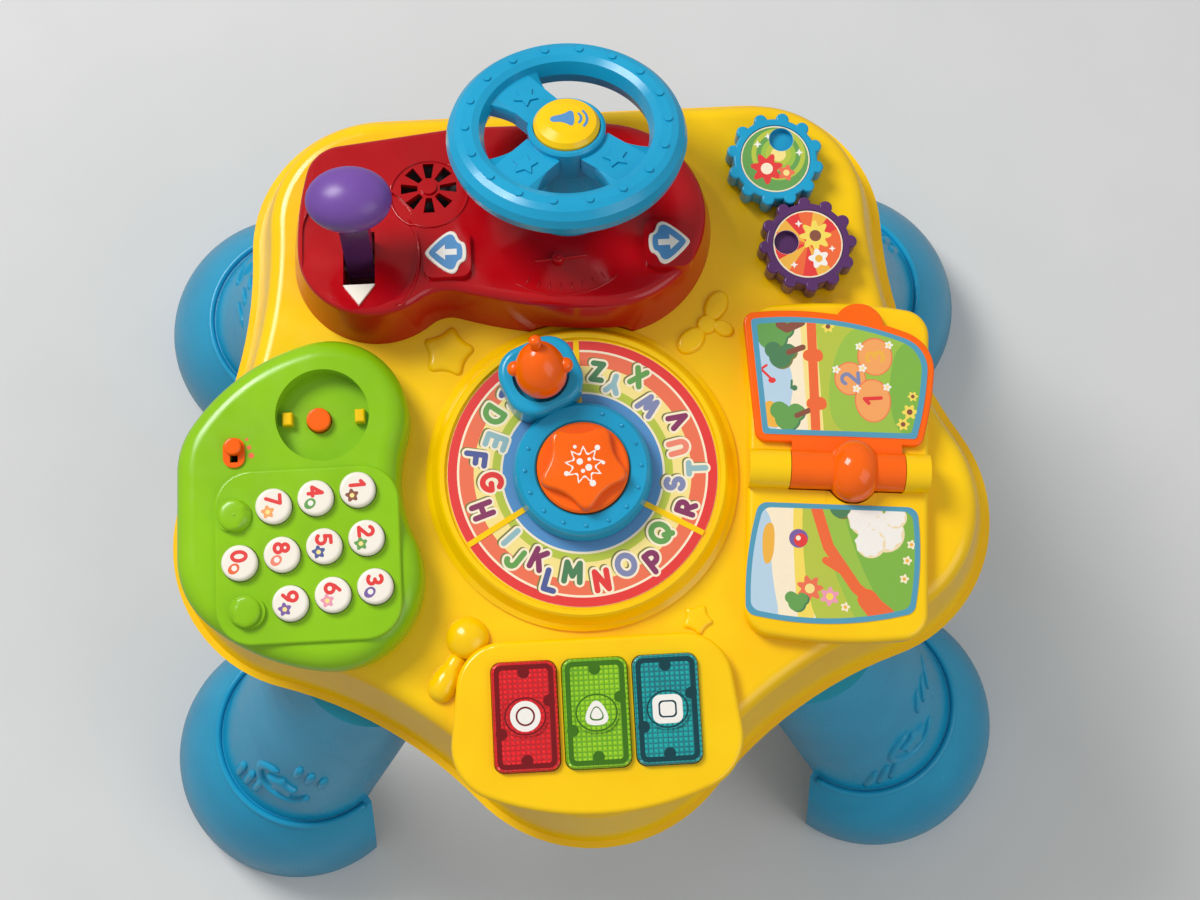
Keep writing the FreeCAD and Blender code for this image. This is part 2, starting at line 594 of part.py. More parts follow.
def make_leg(label, side_x, side_y, turn, axis):
    body = new_body(label)
    top = S.deck_height - S.skirt_depth - S.cover_depth
    cuff = [(0, 0, S.foot_r), (0.5 * S.cuff_high, 0.35 * S.cuff_lean, S.foot_r - 3),
            (S.cuff_high, S.cuff_lean, S.cuff_r)]
    rise = [(S.cuff_high, S.cuff_lean, S.shaft_r), (top, S.shaft_lean, S.shaft_top_r)]
    for part in (cuff, rise):
        loft(body, [drawn(body, leg_section, 0 - as_size(lean), r, 0 - lean - S.leg_cut, height=z)
                    for z, lean, r in part])
    inside = [(0, 0, S.foot_r), cuff[1], (S.cuff_high, S.cuff_lean, S.shaft_r)]
    neck = [inside[2], (top - S.leg_wall, S.shaft_lean, S.shaft_top_r)]
    for part in (inside, neck):
        loft(body, [drawn(body, leg_section, 0 - as_size(lean), r - S.leg_wall,
                          0 - lean - S.leg_cut - S.leg_wall, height=z)
                    for z, lean, r in part], cut=True)
    tenon = drawn(body, leg_section, -S.shaft_lean, S.tenon_r, -S.shaft_lean - S.leg_cut, height=top)
    pad(body, tenon, S.tenon_high - S.wall - S.fit_gap)
    place(body, side_x * S.leg_x, side_y * S.leg_y - S.deck_shift, -S.deck_height, axis, turn)


def make_legs():
    make_leg("leg_back_right", 1, 1, S.leg_turn, (0, 0, 1))
    make_leg("leg_back_left", -1, 1, 180 - S.leg_turn, (0, 0, 1))
    make_leg("leg_front_right", 1, -1, S.leg_turn, (0, 0, -1))
    make_leg("leg_front_left", -1, -1, 180 - S.leg_turn, (0, 0, -1))


def make_letter_pieces():
    body = new_body("letter_sheet")
    disc(body, 0, 0, S.letter_r, S.print_high, S.print_high + S.print_thick)
    disc(body, 0, 0, S.hub_r + S.fit_gap, S.print_high, S.print_high + 1, cut=True)
    for step in range(3):
        turn = S.divider_start + 120 * step
        corners = []
        for along, side in ((-1, -1), (1, -1), (1, 1), (-1, 1)):
            out = (S.spinner_r + S.letter_r) / 2 + along * (S.letter_r - S.spinner_r + 2) / 2
            across = side * (S.divider_wide / 2 + S.run_gap)
            corners.append((out * cosine(turn) - across * sine(turn),
                            out * sine(turn) + across * cosine(turn)))
        pocket(body, drawn(body, polygon, corners, height=S.print_high), 1, up=True)
    place(body)
    body = new_body("spinner_retainer")
    disc(body, 0, 0, S.star_r - 0.4, S.hub_high, S.hub_high + S.retainer_thick)
    disc(body, 0, 0, S.hub_bore_r, S.hub_high, S.hub_high + 2 * S.retainer_thick, cut=True)
    place(body)


def make_spinner():
    body = new_body("spinner")
    inner = S.hub_r + S.run_gap
    well = S.star_r + S.key_gap
    floor = S.hub_high - S.fit_gap
    profile = [(inner, S.spinner_low), (S.spinner_r, S.spinner_low), (S.spinner_r, S.spinner_low + 2),
               (S.spinner_top_r, S.spinner_high - 1.5), (S.spinner_top_r - 1.5, S.spinner_high),
               (well + 0.8, S.spinner_high), (well, S.spinner_high - 0.8), (well, floor),
               (inner, floor)]
    pod = drawn(body, rounded_box, S.pod_reach, 0, S.pod_long, S.pod_wide, S.pod_round,
                height=S.spinner_low)
    pad(body, pod, S.pod_high - S.spinner_low)
    fillet(body, 3, at_height(S.pod_high))
    arm_long = S.pod_reach - S.spinner_r + 4
    block(body, S.spinner_r - 2 + arm_long / 2, 0, arm_long, S.pod_wide * 0.5, S.spinner_low,
          S.spinner_high - 2)
    revolve(body, drawn(body, polygon, profile, plane="XZ"))
    disc(body, S.pod_reach, 0, S.cup_r, S.cup_floor, S.pod_high + 1, cut=True)
    place(body, 0, 0, 0, (0, 0, 1), S.spinner_turn)


def make_pod_figure():
    # A plain round head with a tuft and two ear knobs, seated in the cup of the spinner
    body = new_body("pod_figure")
    low, high = S.cup_floor, S.cup_floor + S.head_high
    waist = S.head_r * 0.8
    profile = [(0, low), (waist, low), (waist + 1, low + 2), (S.head_r, low + 9),
               (S.head_r - 0.8, low + 14), (S.head_r - 3, high - 8), (S.head_r - 6.5, high - 5.5),
               (0, high - 4.5)]
    revolve(body, drawn(body, polygon, profile, plane="XZ"))
    disc(body, 0, 0, S.tuft_r * 0.6, high - 6, high)
    for side in (-1, 1):
        ear = drawn(body, circle, side * 0.0, low + 12, S.ear_r, plane="XZ",
                    height=side * (S.head_r - 3))
        pad(body, ear, 4, down=side < 0)
    fillet(body, 1.5, lambda edge: abs(edge.BoundBox.ZMin - high.value) < 0.01)
    place(body, S.pod_reach * cosine(S.spinner_turn), S.pod_reach * sine(S.spinner_turn), 0,
          (0, 0, 1), S.spinner_turn)


def make_star_button():
    body = new_body("star_button")
    plate_top = S.star_low + S.star_plate
    profile = [(0, -S.hub_tail + 6), (S.hub_bore_r - S.run_gap * 4, -S.hub_tail + 6),
               (S.hub_bore_r - S.run_gap * 4, S.star_low), (S.star_r, S.star_low),
               (S.star_r, plate_top - 1), (S.star_r - 1, plate_top), (0, plate_top)]
    revolve(body, drawn(body, polygon, profile, plane="XZ"))
    star = drawn(body, polygon, star_corners(S.star_point_r, S.star_dent_r, turn=S.divider_start),
                 height=plate_top)
    pad(body, star, S.star_relief, taper=-20)
    fillet(body, 1.5, at_height(plate_top + S.star_relief))
    place(body)


def dash_outline(sketch, inset):
    """The dashboard's outline: a small west lobe for the lever and a wide one for the wheel."""
    lobes = [(S.dash_right_x, S.dash_right_y, S.dash_right_r - inset),
             (S.dash_north_x, S.dash_north_y, S.dash_north_r - inset),
             (S.dash_corner_x, S.dash_corner_y, S.dash_corner_r - inset),
             (S.dash_left_x, S.dash_left_y, S.dash_left_r - inset),
             (S.dash_mid_x, S.dash_mid_y, S.dash_mid_r - inset)]
    outline(sketch, lobes, [None, None, ("bulge", 150 - inset), ("hollow", S.dash_notch_r + inset),
                            ("bulge", S.dash_front_r - inset)])


def dash_top(y):
    """The height of the dashboard's sloped top at a distance along Y."""
    return S.dash_high - (y - S.dash_front_y) * sine(S.dash_slope) / cosine(S.dash_slope)


def on_slope(sketch, y, rise=0):
    """Lays a sketch parallel to the dashboard's sloped top, lifted from it by rise."""
    sketch.AttachmentOffset = Placement(Vector(), Rotation(Vector(-1, 0, 0), S.dash_slope.value))
    bind(sketch, "AttachmentOffset.Rotation.Angle", S.dash_slope)
    bind(sketch, "AttachmentOffset.Base.y", y + rise * sine(S.dash_slope))
    bind(sketch, "AttachmentOffset.Base.z", dash_top(y) + rise * cosine(S.dash_slope))


def grille_slots(sketch):
    """Slots that run out from the speaker's middle like petals."""
    step = 360 / S.grille_slots.value
    for index in range(int(S.grille_slots.value)):
        turn = as_size(step * index)
        corners = []
        for out, side in ((S.grille_in_r, -0.5), (S.grille_out_r - 1, -1), (S.grille_out_r - 1, 1),
                          (S.grille_in_r, 0.5)):
            across = side * S.grille_wide
            corners.append((S.speaker_x + out * cosine(turn) - across * sine(turn),
                            S.speaker_y + out * sine(turn) + across * cosine(turn)))
        polygon(sketch, corners)


def make_dashboard():
    body = new_body("dashboard")
    pad(body, drawn(body, dash_outline, as_size(0)), S.dash_high + 5, taper=-S.dash_draft)
    north = S.dash_corner_y + 60
    south = S.dash_front_y - 20
    wedge = [(south, dash_top(south)), (north, dash_top(north)), (north, S.dash_high + 60),
             (south, S.dash_high + 60)]
    pocket_sketch = drawn(body, polygon, wedge, plane="YZ", height=-250)
    pocket(body, pocket_sketch, 500, up=True)
    slope = math.tan(math.radians(S.dash_slope.value))
    fillet(body, S.dash_round, lambda edge: edge.CenterOfMass.z > 6 and all(
        abs(v.Z - (S.dash_high.value - (v.Y - S.dash_front_y.value) * slope)) < 0.05
        for v in edge.Vertexes))
    # Stepped hollow below: low under the north edge and high under the front
    pocket(body, drawn(body, dash_outline, S.wall + 4), 5, up=True)
    disc(body, S.dash_right_x, S.dash_right_y - 8, S.dash_right_r - 22, 0, 14, cut=True)
    disc(body, S.lever_x, S.lever_y, 22, 0, 14, cut=True)
    disc(body, S.speaker_x, S.speaker_y, S.speaker_r + S.fit_gap, 0, S.speaker_deep + 0.1, cut=True)
    # Slots of the grille, with a small boss in their middle
    grille_top = dash_top(S.speaker_y)
    disc(body, S.speaker_x, S.speaker_y, S.grille_out_r, S.speaker_deep, grille_top - 2 * S.wall,
         cut=True)
    pocket(body, drawn(body, grille_slots, height=S.speaker_deep), S.dash_high, up=True)
    boss = drawn(body, circle, S.speaker_x, 0, S.grille_boss_r)
    on_slope(boss, S.speaker_y, -1)
    pad(body, boss, S.grille_boss_high + 1)
    block(body, S.lever_x, S.lever_y, S.slot_wide, S.slot_long, 0, S.dash_high + 5, cut=True)
    # Room for the foot of the letter ring
    disc(body, 0, 0, S.ring_base_r + S.fit_gap, 0, S.print_high, cut=True)
    # Shallow recess round the lever
    recess = drawn(body, rounded_box, S.lever_x, 0, S.recess_wide, S.recess_long, S.recess_round)
    on_slope(recess, S.recess_y, -S.recess_deep)
    pocket(body, recess, S.dash_high, up=True)
    # Bosses that carry the two turn signs
    for side in (-1, 1):
        x = S.sign_middle_x + side * S.sign_x
        boss = drawn(body, rounded_box, x, 0, S.sign_wide, S.sign_long, 5)
        on_slope(boss, S.sign_y, -3)
        pad(body, boss, S.sign_high + 3)
    place(body)


def make_turn_signs():
    for label, side in (("turn_sign_left", -1), ("turn_sign_right", 1)):
        body = new_body(label)
        half, tall = S.sign_wide / 2 - 2, S.sign_long / 2 - 2
        corners = [(-half, -tall), (half, -tall), (half, tall * 0.45), (0, tall), (-half, tall * 0.45)]
        pad(body, drawn(body, polygon, corners, height=S.sign_high), 2 * S.print_thick)
        place(body, S.sign_middle_x + side * S.sign_x, S.sign_y, dash_top(S.sign_y), (-1, 0, 0),
              S.dash_slope)


def make_shift_marker():
    body = new_body("shift_marker")
    half, tall = S.marker_wide / 2, S.marker_long
    pad(body, drawn(body, polygon, [(0, -tall), (half, 0), (-half, 0)]), 1.2)
    y = S.marker_y - 6
    place(body, S.lever_x, y - S.recess_deep * sine(S.dash_slope),
          dash_top(y) - S.recess_deep * cosine(S.dash_slope), (-1, 0, 0), S.dash_slope)


def make_speaker():
    body = new_body("speaker")
    r = S.speaker_r
    profile = [(0, 0), (r * 0.5, 0), (r * 0.5, 3), (r * 0.7, 3.5), (r, S.speaker_deep - 1),
               (r, S.speaker_deep), (r - 2, S.speaker_deep), (r * 0.35, 4.5), (0, 5.5)]
    revolve(body, drawn(body, polygon, profile, plane="XZ"))
    place(body, S.speaker_x, S.speaker_y, 0)


def make_steering():
    tilt = ((-1, 0, 0), S.wheel_tilt)
    body = new_body("steering_column")
    seat = S.wheel_hub_low - S.run_gap * 2
    low = seat - S.column_long
    profile = [(0, low), (S.column_foot_r, low), (S.column_foot_r, low + 6),
               (S.column_foot_r * 0.75, low + 11), (S.column_r, seat - 3), (S.column_r, seat),
               (S.post_r, seat), (S.post_r, S.post_top), (0, S.post_top)]
    revolve(body, drawn(body, polygon, profile, plane="XZ"))
    lean = S.wheel_tilt - S.dash_slope
    # The foot is cut to sit flat on the sloped top of the dashboard
    drop = (dash_top(S.wheel_y) - S.wheel_z) * cosine(S.dash_slope) / cosine(lean)
    rise = 40 * sine(lean) / cosine(lean)
    below = [(-40, drop - rise), (40, drop + rise), (40, drop - 60), (-40, drop - 60)]
    pocket(body, drawn(body, polygon, below, plane="YZ", height=-60), 120, up=True)
    place(body, 0, S.wheel_y, S.wheel_z, *tilt)

    body = new_body("steering_wheel")
    half = S.rim_thick / 2
    r, inner = S.wheel_r, S.wheel_r - S.rim_wide
    rim = [(inner + 2, -half + 1), (inner + 5, -half), (r - 4, -half), (r - 1, -half + 3), (r, 0),
           (r - 1.2, half - 4), (r - 4, half - 1), (r - 7, half), (inner + 5, half),
           (inner + 2, half - 1.5), (inner, 0)]
    revolve(body, drawn(body, polygon, rim, plane="XZ"))
    hub = [(S.post_r + S.run_gap, S.wheel_hub_low), (S.wheel_hub_r, S.wheel_hub_low),
           (S.wheel_hub_r, S.wheel_hub_top - 1), (S.wheel_hub_r - 1, S.wheel_hub_top),
           (S.horn_r + S.fit_gap, S.wheel_hub_top), (S.horn_r + S.fit_gap, S.post_top - 0.1),
           (S.post_r + S.run_gap, S.post_top - 0.1)]
    revolve(body, drawn(body, polygon, hub, plane="XZ"))
    for step in (-1, 0, 1):
        turn = S.spoke_middle + step * S.spoke_step
        corners = []
        for out, side in ((S.wheel_hub_r - 2, -1), (inner + 4, -1), (inner + 4, 1),
                          (S.wheel_hub_r - 2, 1)):
            across = side * S.spoke_wide / 2
            corners.append((out * cosine(turn) - across * sine(turn),
                            out * sine(turn) + across * cosine(turn)))
        pad(body, drawn(body, polygon, corners, height=S.spoke_low), S.spoke_top - S.spoke_low)
        reach = (S.wheel_hub_r + inner) / 2
        star = star_corners(S.spoke_wide * 0.3, S.spoke_wide * 0.15, reach * cosine(turn),
                            reach * sine(turn), turn)
        pad(body, drawn(body, polygon, star, height=S.spoke_top), 0.8)
    stud = disc(body, S.stud_circle_r, 0, S.stud_r, half - 1, half + S.stud_high)
    repeat_round(body, stud, S.stud_count)
    place(body, 0, S.wheel_y, S.wheel_z, *tilt)

    body = new_body("wheel_screw")
    profile = [(0, S.post_top), (S.post_r + 2.5, S.post_top), (S.post_r + 2.5, S.post_top + 1.2),
               (0, S.post_top + 1.2)]
    revolve(body, drawn(body, polygon, profile, plane="XZ"))
    place(body, 0, S.wheel_y, S.wheel_z, *tilt)

    body = new_body("horn_button")
    low, r = S.horn_low, S.horn_r
    profile = [(0, low), (r, low), (r, S.wheel_hub_top + 1), (r * 0.9, S.horn_high - 2),
               (r * 0.6, S.horn_high - 0.6), (r * 0.25, S.horn_high), (0, S.horn_high)]
    revolve(body, drawn(body, polygon, profile, plane="XZ"))
    place(body, 0, S.wheel_y, S.wheel_z, *tilt)


def make_lever():
    lean = ((-1, 0, 0), S.lever_lean)
    body = new_body("shifter_stem")
    block(body, 0, 0, S.lever_wide, S.lever_deep, -5, S.lever_long)
    barrel = drawn(body, circle, 0, 0, S.pin_r + 3, plane="YZ", height=-S.lever_wide / 2)
    pad(body, barrel, S.lever_wide)
    bore = drawn(body, circle, 0, 0, S.pin_r + S.run_gap, plane="YZ", height=-S.lever_wide)
    pocket(body, bore, 2 * S.lever_wide, up=True)
    place(body, S.lever_x, S.lever_y, S.lever_z, *lean)

    ball = DOC.addObject("Part::Ellipsoid", "KnobBall")
    bind(ball, "Radius1", S.knob_high / 2)
    bind(ball, "Radius2", S.knob_wide / 2)
    bind(ball, "Radius3", S.knob_deep / 2)
    bind(ball, "Placement.Base.z", S.lever_long)
    socket = DOC.addObject("Part::Box", "KnobSocket")
    bind(socket, "Length", S.lever_wide)
    bind(socket, "Width", S.lever_deep)
    bind(socket, "Height", S.lever_long)
    bind(socket, "Placement.Base.x", -S.lever_wide / 2)
    bind(socket, "Placement.Base.y", -S.lever_deep / 2)
    knob = piece(DOC.addObject("Part::Cut", "Knob"), "shifter_knob")
    knob.Base = ball
    knob.Tool = socket
    place(knob, S.lever_x, S.lever_y, S.lever_z, *lean)

    body = new_body("shifter_pin")
    half = S.slot_wide / 2 + 2 * S.wall
    rod = drawn(body, circle, 0, 0, S.pin_r, plane="YZ", height=-half)
    pad(body, rod, 2 * half)
    place(body, S.lever_x, S.lever_y, S.lever_z)


def make_gear(name, x, y, first_tooth, dimple):
    body = new_body("gear_" + name)
    disc(body, 0, 0, S.gear_rim_r, S.gear_low, S.gear_high)
    spot = (S.gear_tooth_at * cosine(first_tooth), S.gear_tooth_at * sine(first_tooth))
    tooth = disc(body, spot[0], spot[1], S.gear_tooth_r, S.gear_low, S.gear_high)
    repeat_round(body, tooth, S.gear_teeth)
    fillet(body, 1, at_height(S.gear_high))
    disc(body, 0, 0, S.gear_post_r + S.run_gap, S.gear_low, S.gear_high, cut=True)
    disc(body, 0, 0, S.gear_print_r + S.fit_gap, S.gear_high - 1, S.gear_high, cut=True)
    hollow = (S.dimple_at * cosine(dimple), S.dimple_at * sine(dimple))
    disc(body, *hollow, S.dimple_r, S.gear_high - 1 - S.dimple_deep, S.gear_high, cut=True)
    place(body, x, y)
    body = new_body("gear_%s_print" % name)
    disc(body, 0, 0, S.gear_print_r, S.gear_high - 1, S.gear_high - 1 + S.print_thick)
    disc(body, *hollow, S.dimple_r + S.fit_gap, S.gear_high - 1, S.gear_high, cut=True)
    place(body, x, y)


def mesh_angle():
    """The direction from the first gear to the second."""
    return math.degrees(math.atan2(S.gear_b_y.value - S.gear_a_y.value,
                                   S.gear_b_x.value - S.gear_a_x.value))


def make_gears():
    make_gear("cyan", S.gear_a_x, S.gear_a_y, mesh_angle(), S.dimple_a)
    make_gear("purple", S.gear_b_x, S.gear_b_y, mesh_angle() + 15, S.dimple_b)
    body = new_body("gear_posts")
    for x, y in ((S.gear_a_x, S.gear_a_y), (S.gear_b_x, S.gear_b_y)):
        disc(body, x, y, S.gear_foot_r, 0, S.gear_low - S.fit_gap)
    for x, y in ((S.gear_a_x, S.gear_a_y), (S.gear_b_x, S.gear_b_y)):
        disc(body, x, y, S.gear_post_r, 0, S.gear_high - 1 - S.fit_gap)
    place(body)


def phone_outline(sketch, inset):
    """The telephone's pebble outline."""
    lobes = [(S.phone_south_x, S.phone_south_y, S.phone_south_r - inset),
             (S.phone_north_x, S.phone_north_y, S.phone_north_r - inset),
             (S.phone_northwest_x, S.phone_northwest_y, S.phone_northwest_r - inset),
             (S.phone_southwest_x, S.phone_southwest_y, S.phone_southwest_r - inset)]
    outline(sketch, lobes, [("hollow", S.phone_east_r + inset), ("bulge", S.phone_bulge_r - inset),
                            None, ("bulge", S.phone_bulge_r - inset)])


def make_phone():
    body = new_body("phone_casing")
    pad(body, drawn(body, phone_outline, as_size(0)), S.phone_high)
    fillet(body, S.phone_round, at_height(S.phone_high))
    top = S.phone_high + S.panel_high
    panel = drawn(body, rounded_box, S.panel_x, S.panel_y, S.panel_wide, S.panel_long, S.panel_round,
                  height=S.phone_high - 1)
    pad(body, panel, S.panel_high + 1)
    fillet(body, 1.2, at_height(top))
    room = drawn(body, rounded_box, S.panel_x, S.panel_y, S.panel_wide - 4, S.panel_long - 4,
                 S.panel_round)
    pocket(body, room, S.phone_ceiling, up=True)
    for column, line in KEYS.values():
        x, y = key_spot(column, line)
        disc(body, x, y, S.key_r + S.key_gap, S.phone_ceiling, top, cut=True)
    for line in (-1, 1):
        x, y = key_spot(-1, line)
        disc(body, x, y, S.key_r - 0.5, top, top + 2)
    disc(body, S.cradle_x, S.cradle_y, S.cradle_r, S.cradle_floor, top, cut=True)
    disc(body, S.hook_x, S.hook_y, S.hook_r + S.key_gap, 0, S.cradle_floor, cut=True)
    disc(body, S.hook_x, S.hook_y, S.hook_r + 2.5, 0, S.cradle_floor - S.wall, cut=True)
    block(body, S.volume_x, S.volume_y, 3.4, S.volume_travel + 4, 0, S.phone_high, cut=True)
    block(body, S.volume_x, S.volume_y, 9, S.volume_travel + 10, 0, S.phone_high - 5, cut=True)
    place(body)

    body = new_body("volume_track")
    block(body, S.volume_x, S.volume_y, S.volume_wide, S.volume_travel + 8.5, S.phone_high,
          S.phone_high + 1.2, S.volume_wide / 2 - 0.4)
    block(body, S.volume_x, S.volume_y, 3.4, S.volume_travel + 4, S.phone_high, S.phone_high + 2,
          cut=True)
    place(body)
    body = new_body("volume_knob")
    north = S.volume_y + S.volume_travel / 2
    disc(body, S.volume_x, north, S.volume_knob_r, S.phone_high + 1.4, S.volume_high)
    fillet(body, 1, at_height(S.volume_high))
    block(body, S.volume_x, north, 2.8, 2.8, S.phone_high - 7, S.phone_high + 2)
    block(body, S.volume_x, north, 7, 5, S.phone_high - 7, S.phone_high - 5.2)
    place(body)

    body = new_body("hook_button")
    disc(body, S.hook_x, S.hook_y, S.hook_r, S.cradle_floor - 6, S.hook_high)
    fillet(body, 0.8, at_height(S.hook_high))
    disc(body, S.hook_x, S.hook_y, S.hook_r + 1.8, S.cradle_floor - 6,
         S.cradle_floor - S.wall - S.fit_gap)
    place(body)
    body = new_body("cradle_catches")
    for side in (-1, 1):
        block(body, S.cradle_x + side * S.catch_reach, S.cradle_y, S.catch_wide, S.catch_long,
              S.cradle_floor, S.catch_high)
    fillet(body, 1, at_height(S.catch_high))
    place(body)

    body = new_body("key_membrane")
    board = S.key_low - 4.5
    block(body, S.panel_x, S.panel_y, S.panel_wide - 6, S.panel_long - 6, board, board + 1,
          S.panel_round - 1)
    for column, line in KEYS.values():
        x, y = key_spot(column, line)
        disc(body, x, y, 3, board + 1, board + 2.6)
    place(body)
    body = new_body("key_board")
    block(body, S.panel_x, S.panel_y, S.panel_wide - 6, S.panel_long - 6, board - S.board_thick,
          board, S.panel_round - 1)
    for side_x in (-1, 1):
        for side_y in (-1, 1):
            disc(body, S.panel_x + side_x * (S.panel_wide / 2 - 14),
                 S.panel_y + side_y * (S.panel_long / 2 - 14), 3, 0, board - S.board_thick)
    place(body)


def make_keys():
    for name, (column, line) in sorted(KEYS.items()):
        body = new_body("key_" + name)
        disc(body, 0, 0, S.key_r, S.key_low, S.key_high)
        fillet(body, 1.6, at_height(S.key_high))
        disc(body, 0, 0, S.key_flange_r, S.key_low, S.key_flange_high)
        x, y = key_spot(column, line)
        place(body, x, y, 0, (0, 0, 1), S.grid_turn)


def make_light_keys():
    for index, name in enumerate(("red", "green", "teal")):
        body = new_body("light_button_" + name)
        block(body, 0, 0, S.light_wide, S.light_long, S.light_low, S.light_top, S.light_round)
        fillet(body, 1.2, at_height(S.light_top))
        flange_top = S.light_high - S.wall - S.fit_gap
        block(body, 0, 0, S.light_wide, S.light_long + 2 * S.light_flange, S.light_low, flange_top,
              S.light_round)
        block(body, 0, 0, S.light_wide - 2 * S.light_wall, S.light_long - 2 * S.light_wall,
              S.light_low, S.light_top - S.light_wall, S.light_round - 1.5, cut=True)
        sides = (S.light_wide / 2 - 3, S.light_long / 2 - 3)
        for x, y in ((0, sides[1]), (0, -sides[1]), (-sides[0], -6), (sides[0], 6)):
            disc(body, x, y, S.light_pin_r, S.light_low + 1, S.light_top - S.light_wall)
        oval = drawn(body, rounded_box, 0, 0, S.light_oval_wide, S.light_oval_long,
                     S.light_oval_long / 2 - 0.5, height=S.light_top)
        pad(body, oval, 1)
        place(body, light_x(index), S.light_y)
    body = new_body("light_board")
    level = S.light_low - S.light_travel - 1
    block(body, S.light_middle_x, S.light_y, 3 * S.light_step, S.light_board_long,
          level - S.board_thick, level, 4)
    for index in range(3):
        disc(body, light_x(index), S.light_y, S.lamp_r, level, level + S.lamp_high)
    for index in (0, 1):
        spot = S.light_middle_x + (index - 0.5) * S.light_step
        for side in (-1, 1):
            disc(body, spot, S.light_y + side * (S.light_board_long / 2 - 2), S.light_post_r, level,
                 S.light_high - S.wall)
    place(body)


def ball_middle():
    """How far along the spine the ball's middle lies from the book's own middle."""
    return (S.cap_left - S.cap_right) / 2 + S.ball_shift


def book_outline(sketch, inset):
    """The book's base, along its spine's direction."""
    r = S.book_corner_r - inset
    east, west = S.book_east - inset - r, S.book_west + inset + r
    north, south = S.book_north - inset - r, S.book_south + inset + r
    outline(sketch, [(east, south, r), (east, north, r), (west, north, r), (west, south, r)],
            [None, ("bulge", 220 - inset), None, ("bulge", 220 - inset)])


def page_outline(sketch, inset):
    """The picture page: straight by the spine, slanted on the west and full on the east."""
    small, full = S.page_corner_r - inset, S.page_full_r - inset
    lobes = [(S.page_east - S.page_corner_r, S.page_near + S.page_corner_r, small),
             (S.page_full_x, S.page_full_y, full),
             (S.page_west + S.page_corner_r, S.page_far - S.page_corner_r, small),
             (S.page_west + S.page_slant, S.page_near + S.page_corner_r, small)]
    bow = S.page_bow_r - inset
    outline(sketch, lobes, [("bulge", bow), ("bulge", bow), None, None])


def label_outline(sketch):
    """The printed label on the book's south half."""
    r = S.page_corner_r
    lobes = [(S.label_south_x, -S.label_far + r, r), (S.label_north_x, -S.label_near - r, r),
             (-S.label_north_x, -S.label_near - r, r), (-S.label_south_x - r, -S.label_far + r / 2, r)]
    outline(sketch, lobes, [("bulge", S.page_bow_r), None, ("bulge", S.page_bow_r),
                            ("bulge", S.page_bow_r)])


def make_book():
    turn = ((0, 0, -1), S.book_turn)
    body = new_body("book_base")
    pad(body, drawn(body, book_outline, as_size(0)), S.book_high)
    fillet(body, S.book_round, at_height(S.book_high))
    for from_x, long in ((-S.spine_half, S.cap_left), (S.spine_half - S.cap_right, S.cap_right)):
        cap = drawn(body, circle, 0, S.spine_z, S.spine_r, plane="YZ", height=from_x)
        pad(body, cap, long)
        block(body, from_x + long / 2, 0, long, 2 * S.spine_r - 1, S.book_high - 2, S.spine_z)
    left, right = -S.spine_half + S.cap_left, S.spine_half - S.cap_right
    trough = drawn(body, circle, 0, S.spine_z, S.spine_r + 0.6, plane="YZ", height=left)
    pocket(body, trough, right - left, up=True)
    middle = ball_middle()
    ball_room = drawn(body, circle, 0, S.spine_z, S.ball_r + 0.5, plane="YZ",
                      height=middle - S.ball_long / 2 - 0.5)
    pocket(body, ball_room, S.ball_long + 1, up=True)
    bore = drawn(body, circle, 0, S.spine_z, S.book_pin_r + S.run_gap, plane="YZ",
                 height=-S.spine_half + 3)
    pocket(body, bore, 2 * S.spine_half - 6, up=True)
    place(body, S.book_x, S.book_y, 0, *turn)

    body = new_body("book_pin")
    rod = drawn(body, circle, 0, S.spine_z, S.book_pin_r, plane="YZ", height=-S.spine_half + 3)
    pad(body, rod, 2 * S.spine_half - 6)
    place(body, S.book_x, S.book_y, 0, *turn)

    body = new_body("book_page")
    start, stop = left + S.fit_gap, right - S.fit_gap
    barrel = drawn(body, circle, 0, S.spine_z, S.spine_r, plane="YZ", height=start)
    pad(body, barrel, stop - start)
    pad(body, drawn(body, page_outline, as_size(0), height=S.page_low), S.page_thick)
    block(body, (left + right) / 2, S.page_near, right - left - 2, 2 * S.page_near - 8, S.page_low,
          S.page_low + S.page_thick)
    disc(body, S.tab_x, S.page_far - S.tab_r / 2, S.tab_r, S.page_low, S.page_low + S.page_thick)
    fillet(body, 1, lambda edge: edge.BoundBox.YMin > S.page_near.value - 1
           and at_height(S.page_low + S.page_thick)(edge))
    ball = drawn(body, arch, middle, S.ball_long / 2, S.ball_r, plane="XZ")
    bind(ball, "AttachmentOffset.Base.y", S.spine_z)
    round_ball = revolve(body, ball)
    round_ball.ReferenceAxis = (ball, ["H_Axis"])
    pocket(body, drawn(body, circle, 0, S.spine_z, S.book_pin_r + S.run_gap, plane="YZ",
                       height=left - 1), right - left + 2, up=True)
    place(body, S.book_x, S.book_y, 0, *turn)

    body = new_body("page_print")
    pad(body, drawn(body, page_outline, S.page_rim, height=S.page_low + S.page_thick),
        S.print_thick)
    place(body, S.book_x, S.book_y, 0, *turn)
    body = new_body("book_print")
    pad(body, drawn(body, label_outline, height=S.book_high), S.print_thick)
    place(body, S.book_x, S.book_y, 0, *turn)


